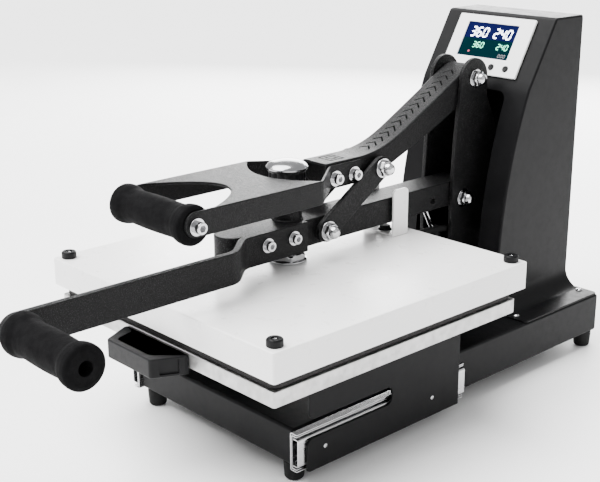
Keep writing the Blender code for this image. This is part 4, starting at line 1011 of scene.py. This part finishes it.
def make_drawer():
    """The lower platen with its sponge pad, the pull, and the side panels."""
    piece("lower_plate", slab((-193, 193), (6, 389), (133, 150.6), 3.5, 1.0), "aluminium", "carriage",
          ["lower_platen"])
    pad = slab((-190, 190), (9, 386), (150.9, 161.3), 9, 1.6)
    pad = piece("sponge_pad", pad, "silicone", "carriage", ["silicone_pad"])
    plan = fillet([(-57, 5.7, 1), (-57, 1, 2), (-40, -33, 5), (40, -33, 5), (57, 1, 2), (57, 5.7, 1),
                   (38, 5.7, 0.5), (38, 0, 3), (31, -24, 5), (-31, -24, 5), (-38, 0, 3),
                   (-38, 5.7, 0.5)], steps=5)
    pull = plate("z", plan, 126.5, 148.5, 1.6, 4)
    pockets = []
    for side in (-1, 1):
        near, far = Vector((side * 44.5, -24)), Vector((side * 54.0, -5))
        along = (far - near).normalized()
        out = Vector((along.y * side, -along.x * side)) * side
        corners = [near - out * 2.6, far - out * 2.6, far + out * 9, near + out * 9]
        pockets.append(plate("z", [tuple(c) for c in corners], 129.5, 145.5, 0.8, 2))
    piece("drawer_pull", cut(pull, *pockets), "black_plastic", "carriage", ["drawer_handle"])
    for side, place in ((-1, "left"), (1, "right")):
        inner, outer, top = 153.3, 156.3, 132.7
        outline = fillet([(85, 18, 4), (335, 18, 1), (335, top, 0.5), (88, top, 0.5), (88, 79, 8),
                          (217, 79, 9), (217, 57, 9), (85, 57, 8)], steps=7)
        sheet = plate("x", outline, *sorted((side * inner, side * outer)), 0.7)
        fold = plate("z", rectangle(*sorted((side * 128, side * (outer - 0.05))), 88.1, 334.9),
                     top - 3, top - 0.02, 0.7)
        piece("side_panel_" + place, fuse(sheet, fold), "black_coat", "carriage",
              ["carriage_panel_" + place])
        screws = [pan_screw((side * outer, y, z), (side, 0, 0), 2.6, 1.4)
                  for y, z in ((111, 42), (286, 42))]
        piece("side_panel_screws_" + place, gather(*screws), "zinc", "carriage")


def make_slides():
    """The ball-bearing slides: three nested members each, with their balls."""
    members = {"outer": (140.3, 151.0, 20.0, 65.0, 1.3), "middle": (142.3, 150.4, 22.5, 62.5, 1.2),
               "inner": (152.9, 145.0, 26.0, 59.0, 1.2)}
    front, back = 74.0, 350.0
    for side, place in ((-1, "left"), (1, "right")):
        for kind, (web, lip, low, high, thick) in members.items():
            way = 1 if lip > web else -1
            inside = web + way * thick
            section = fillet([(web, low, 2.2), (lip, low, 0.5), (lip, low + thick, 0.4),
                              (inside, low + thick, 1.0), (inside, high - thick, 1.0),
                              (lip, high - thick, 0.4), (lip, high, 0.5), (web, high, 2.2)], steps=4)
            mesh = plate("y", [(side * x, z) for x, z in section], front, back, 0.3, 2)
            body = {"outer": "root", "middle": "slide_" + place, "inner": "carriage"}[kind]
            piece(f"slide_{kind}_rail_{place}", mesh, "zinc", body, [f"slide_{kind}_{place}"])
        cages = []
        for z, wide in ((60.15, 0.9), (24.85, 0.9)):
            for i in range(14):
                ball = lathe([(0, -wide)] + [(wide * cos(radians(a)), wide * sin(radians(a)))
                                             for a in range(-60, 61, 30)] + [(0, wide)],
                             (side * 146.6, front + 8 + i * 18, z), (0, 0, 1), 14)
                cages.append(ball)
        piece("slide_balls_" + place, gather(*cages), "chrome", "slide_" + place)


# ---------------------------------------------------------------- stage, light and camera

def make_stage():
    """A pale floor that runs out of view."""
    bm = bmesh.new()
    bmesh.ops.create_grid(bm, x_segments=2, y_segments=2, size=40.0)
    floor = bpy.data.objects.new("floor", finish_mesh(bm))
    floor.location.z = -0.0006
    floor.data.materials.append(make_look("floor", (0.93, 0.93, 0.93), 0.6, mottle=(3, 0.99)))
    bpy.context.scene.collection.objects.link(floor)


def make_light(name, place, target, size, energy):
    """A soft area light."""
    data = bpy.data.lights.new(name, "AREA")
    data.shape = "RECTANGLE"
    data.size, data.size_y = size
    data.energy = energy
    lamp = bpy.data.objects.new(name, data)
    lamp.location = place
    lamp.rotation_euler = (Vector(target) - Vector(place)).to_track_quat("-Z", "Y").to_euler()
    bpy.context.scene.collection.objects.link(lamp)


def make_lights():
    """A bright white room with a high, soft sun and three softboxes."""
    world = bpy.data.worlds.new("room")
    world.use_nodes = True
    room = world.node_tree.nodes["Background"]
    room.inputs["Color"].default_value = (1.0, 1.0, 1.0, 1)
    room.inputs["Strength"].default_value = 0.9
    bpy.context.scene.world = world
    aim = (0, 0, 0.2)
    sun = bpy.data.lights.new("high_sun", "SUN")
    sun.energy, sun.angle = 11.0, radians(60)
    high = bpy.data.objects.new("high_sun", sun)
    high.rotation_euler = (radians(14), radians(-16), 0)
    bpy.context.scene.collection.objects.link(high)
    make_light("key_softbox", (-0.9, -1.0, 1.9), aim, (1.6, 1.6), 20)
    make_light("side_softbox", (2.0, 0.3, 1.0), aim, (1.0, 1.4), 3)
    make_light("back_softbox", (-1.4, 1.9, 0.9), aim, (2.0, 1.0), 90)


def make_camera():
    """A camera at the photograph's angle."""
    place, azimuth, elevation, roll = (961.6, -665.3, 631.8), 47.4, 17.7, -0.27
    a, e, r = radians(azimuth), radians(elevation), radians(roll)
    back = Vector((sin(a) * cos(e), -cos(a) * cos(e), sin(e)))
    right = Vector((cos(a), sin(a), 0))
    up = back.cross(right)
    right, up = right * cos(r) + up * sin(r), up * cos(r) - right * sin(r)
    data = bpy.data.cameras.new("camera")
    data.sensor_fit = "HORIZONTAL"
    data.sensor_width = 36.0
    data.lens = 68.82
    data.clip_end = 50
    camera = bpy.data.objects.new("camera", data)
    turn = Matrix((right, up, back)).transposed().to_4x4()
    camera.matrix_world = Matrix.Translation(TO_FRAME @ Vector(place)) @ turn
    bpy.context.scene.collection.objects.link(camera)
    bpy.context.scene.camera = camera


def dress_remaining_nodes():
    """Give the CAD nodes that stay their procedural finishes."""
    slots = {row["node"]: row["material_slot"] for row in frame["record"]["subparts"]}
    for name, node in frame["nodes"].items():
        for place in node.material_slots:
            place.material = LOOKS[slots[name]]


def main():
    """Build every piece round the frame."""
    dress_remaining_nodes()
    make_base()
    make_tower()
    make_rear_fittings()
    make_frame_plates()
    make_controls()
    make_lever()
    make_yoke()
    make_grips()
    make_links()
    make_arm()
    make_gas_spring()
    make_cover()
    make_cover_fittings()
    make_screw()
    make_sleeve()
    make_drawer()
    make_slides()
    make_stage()
    make_lights()
    make_camera()


main()
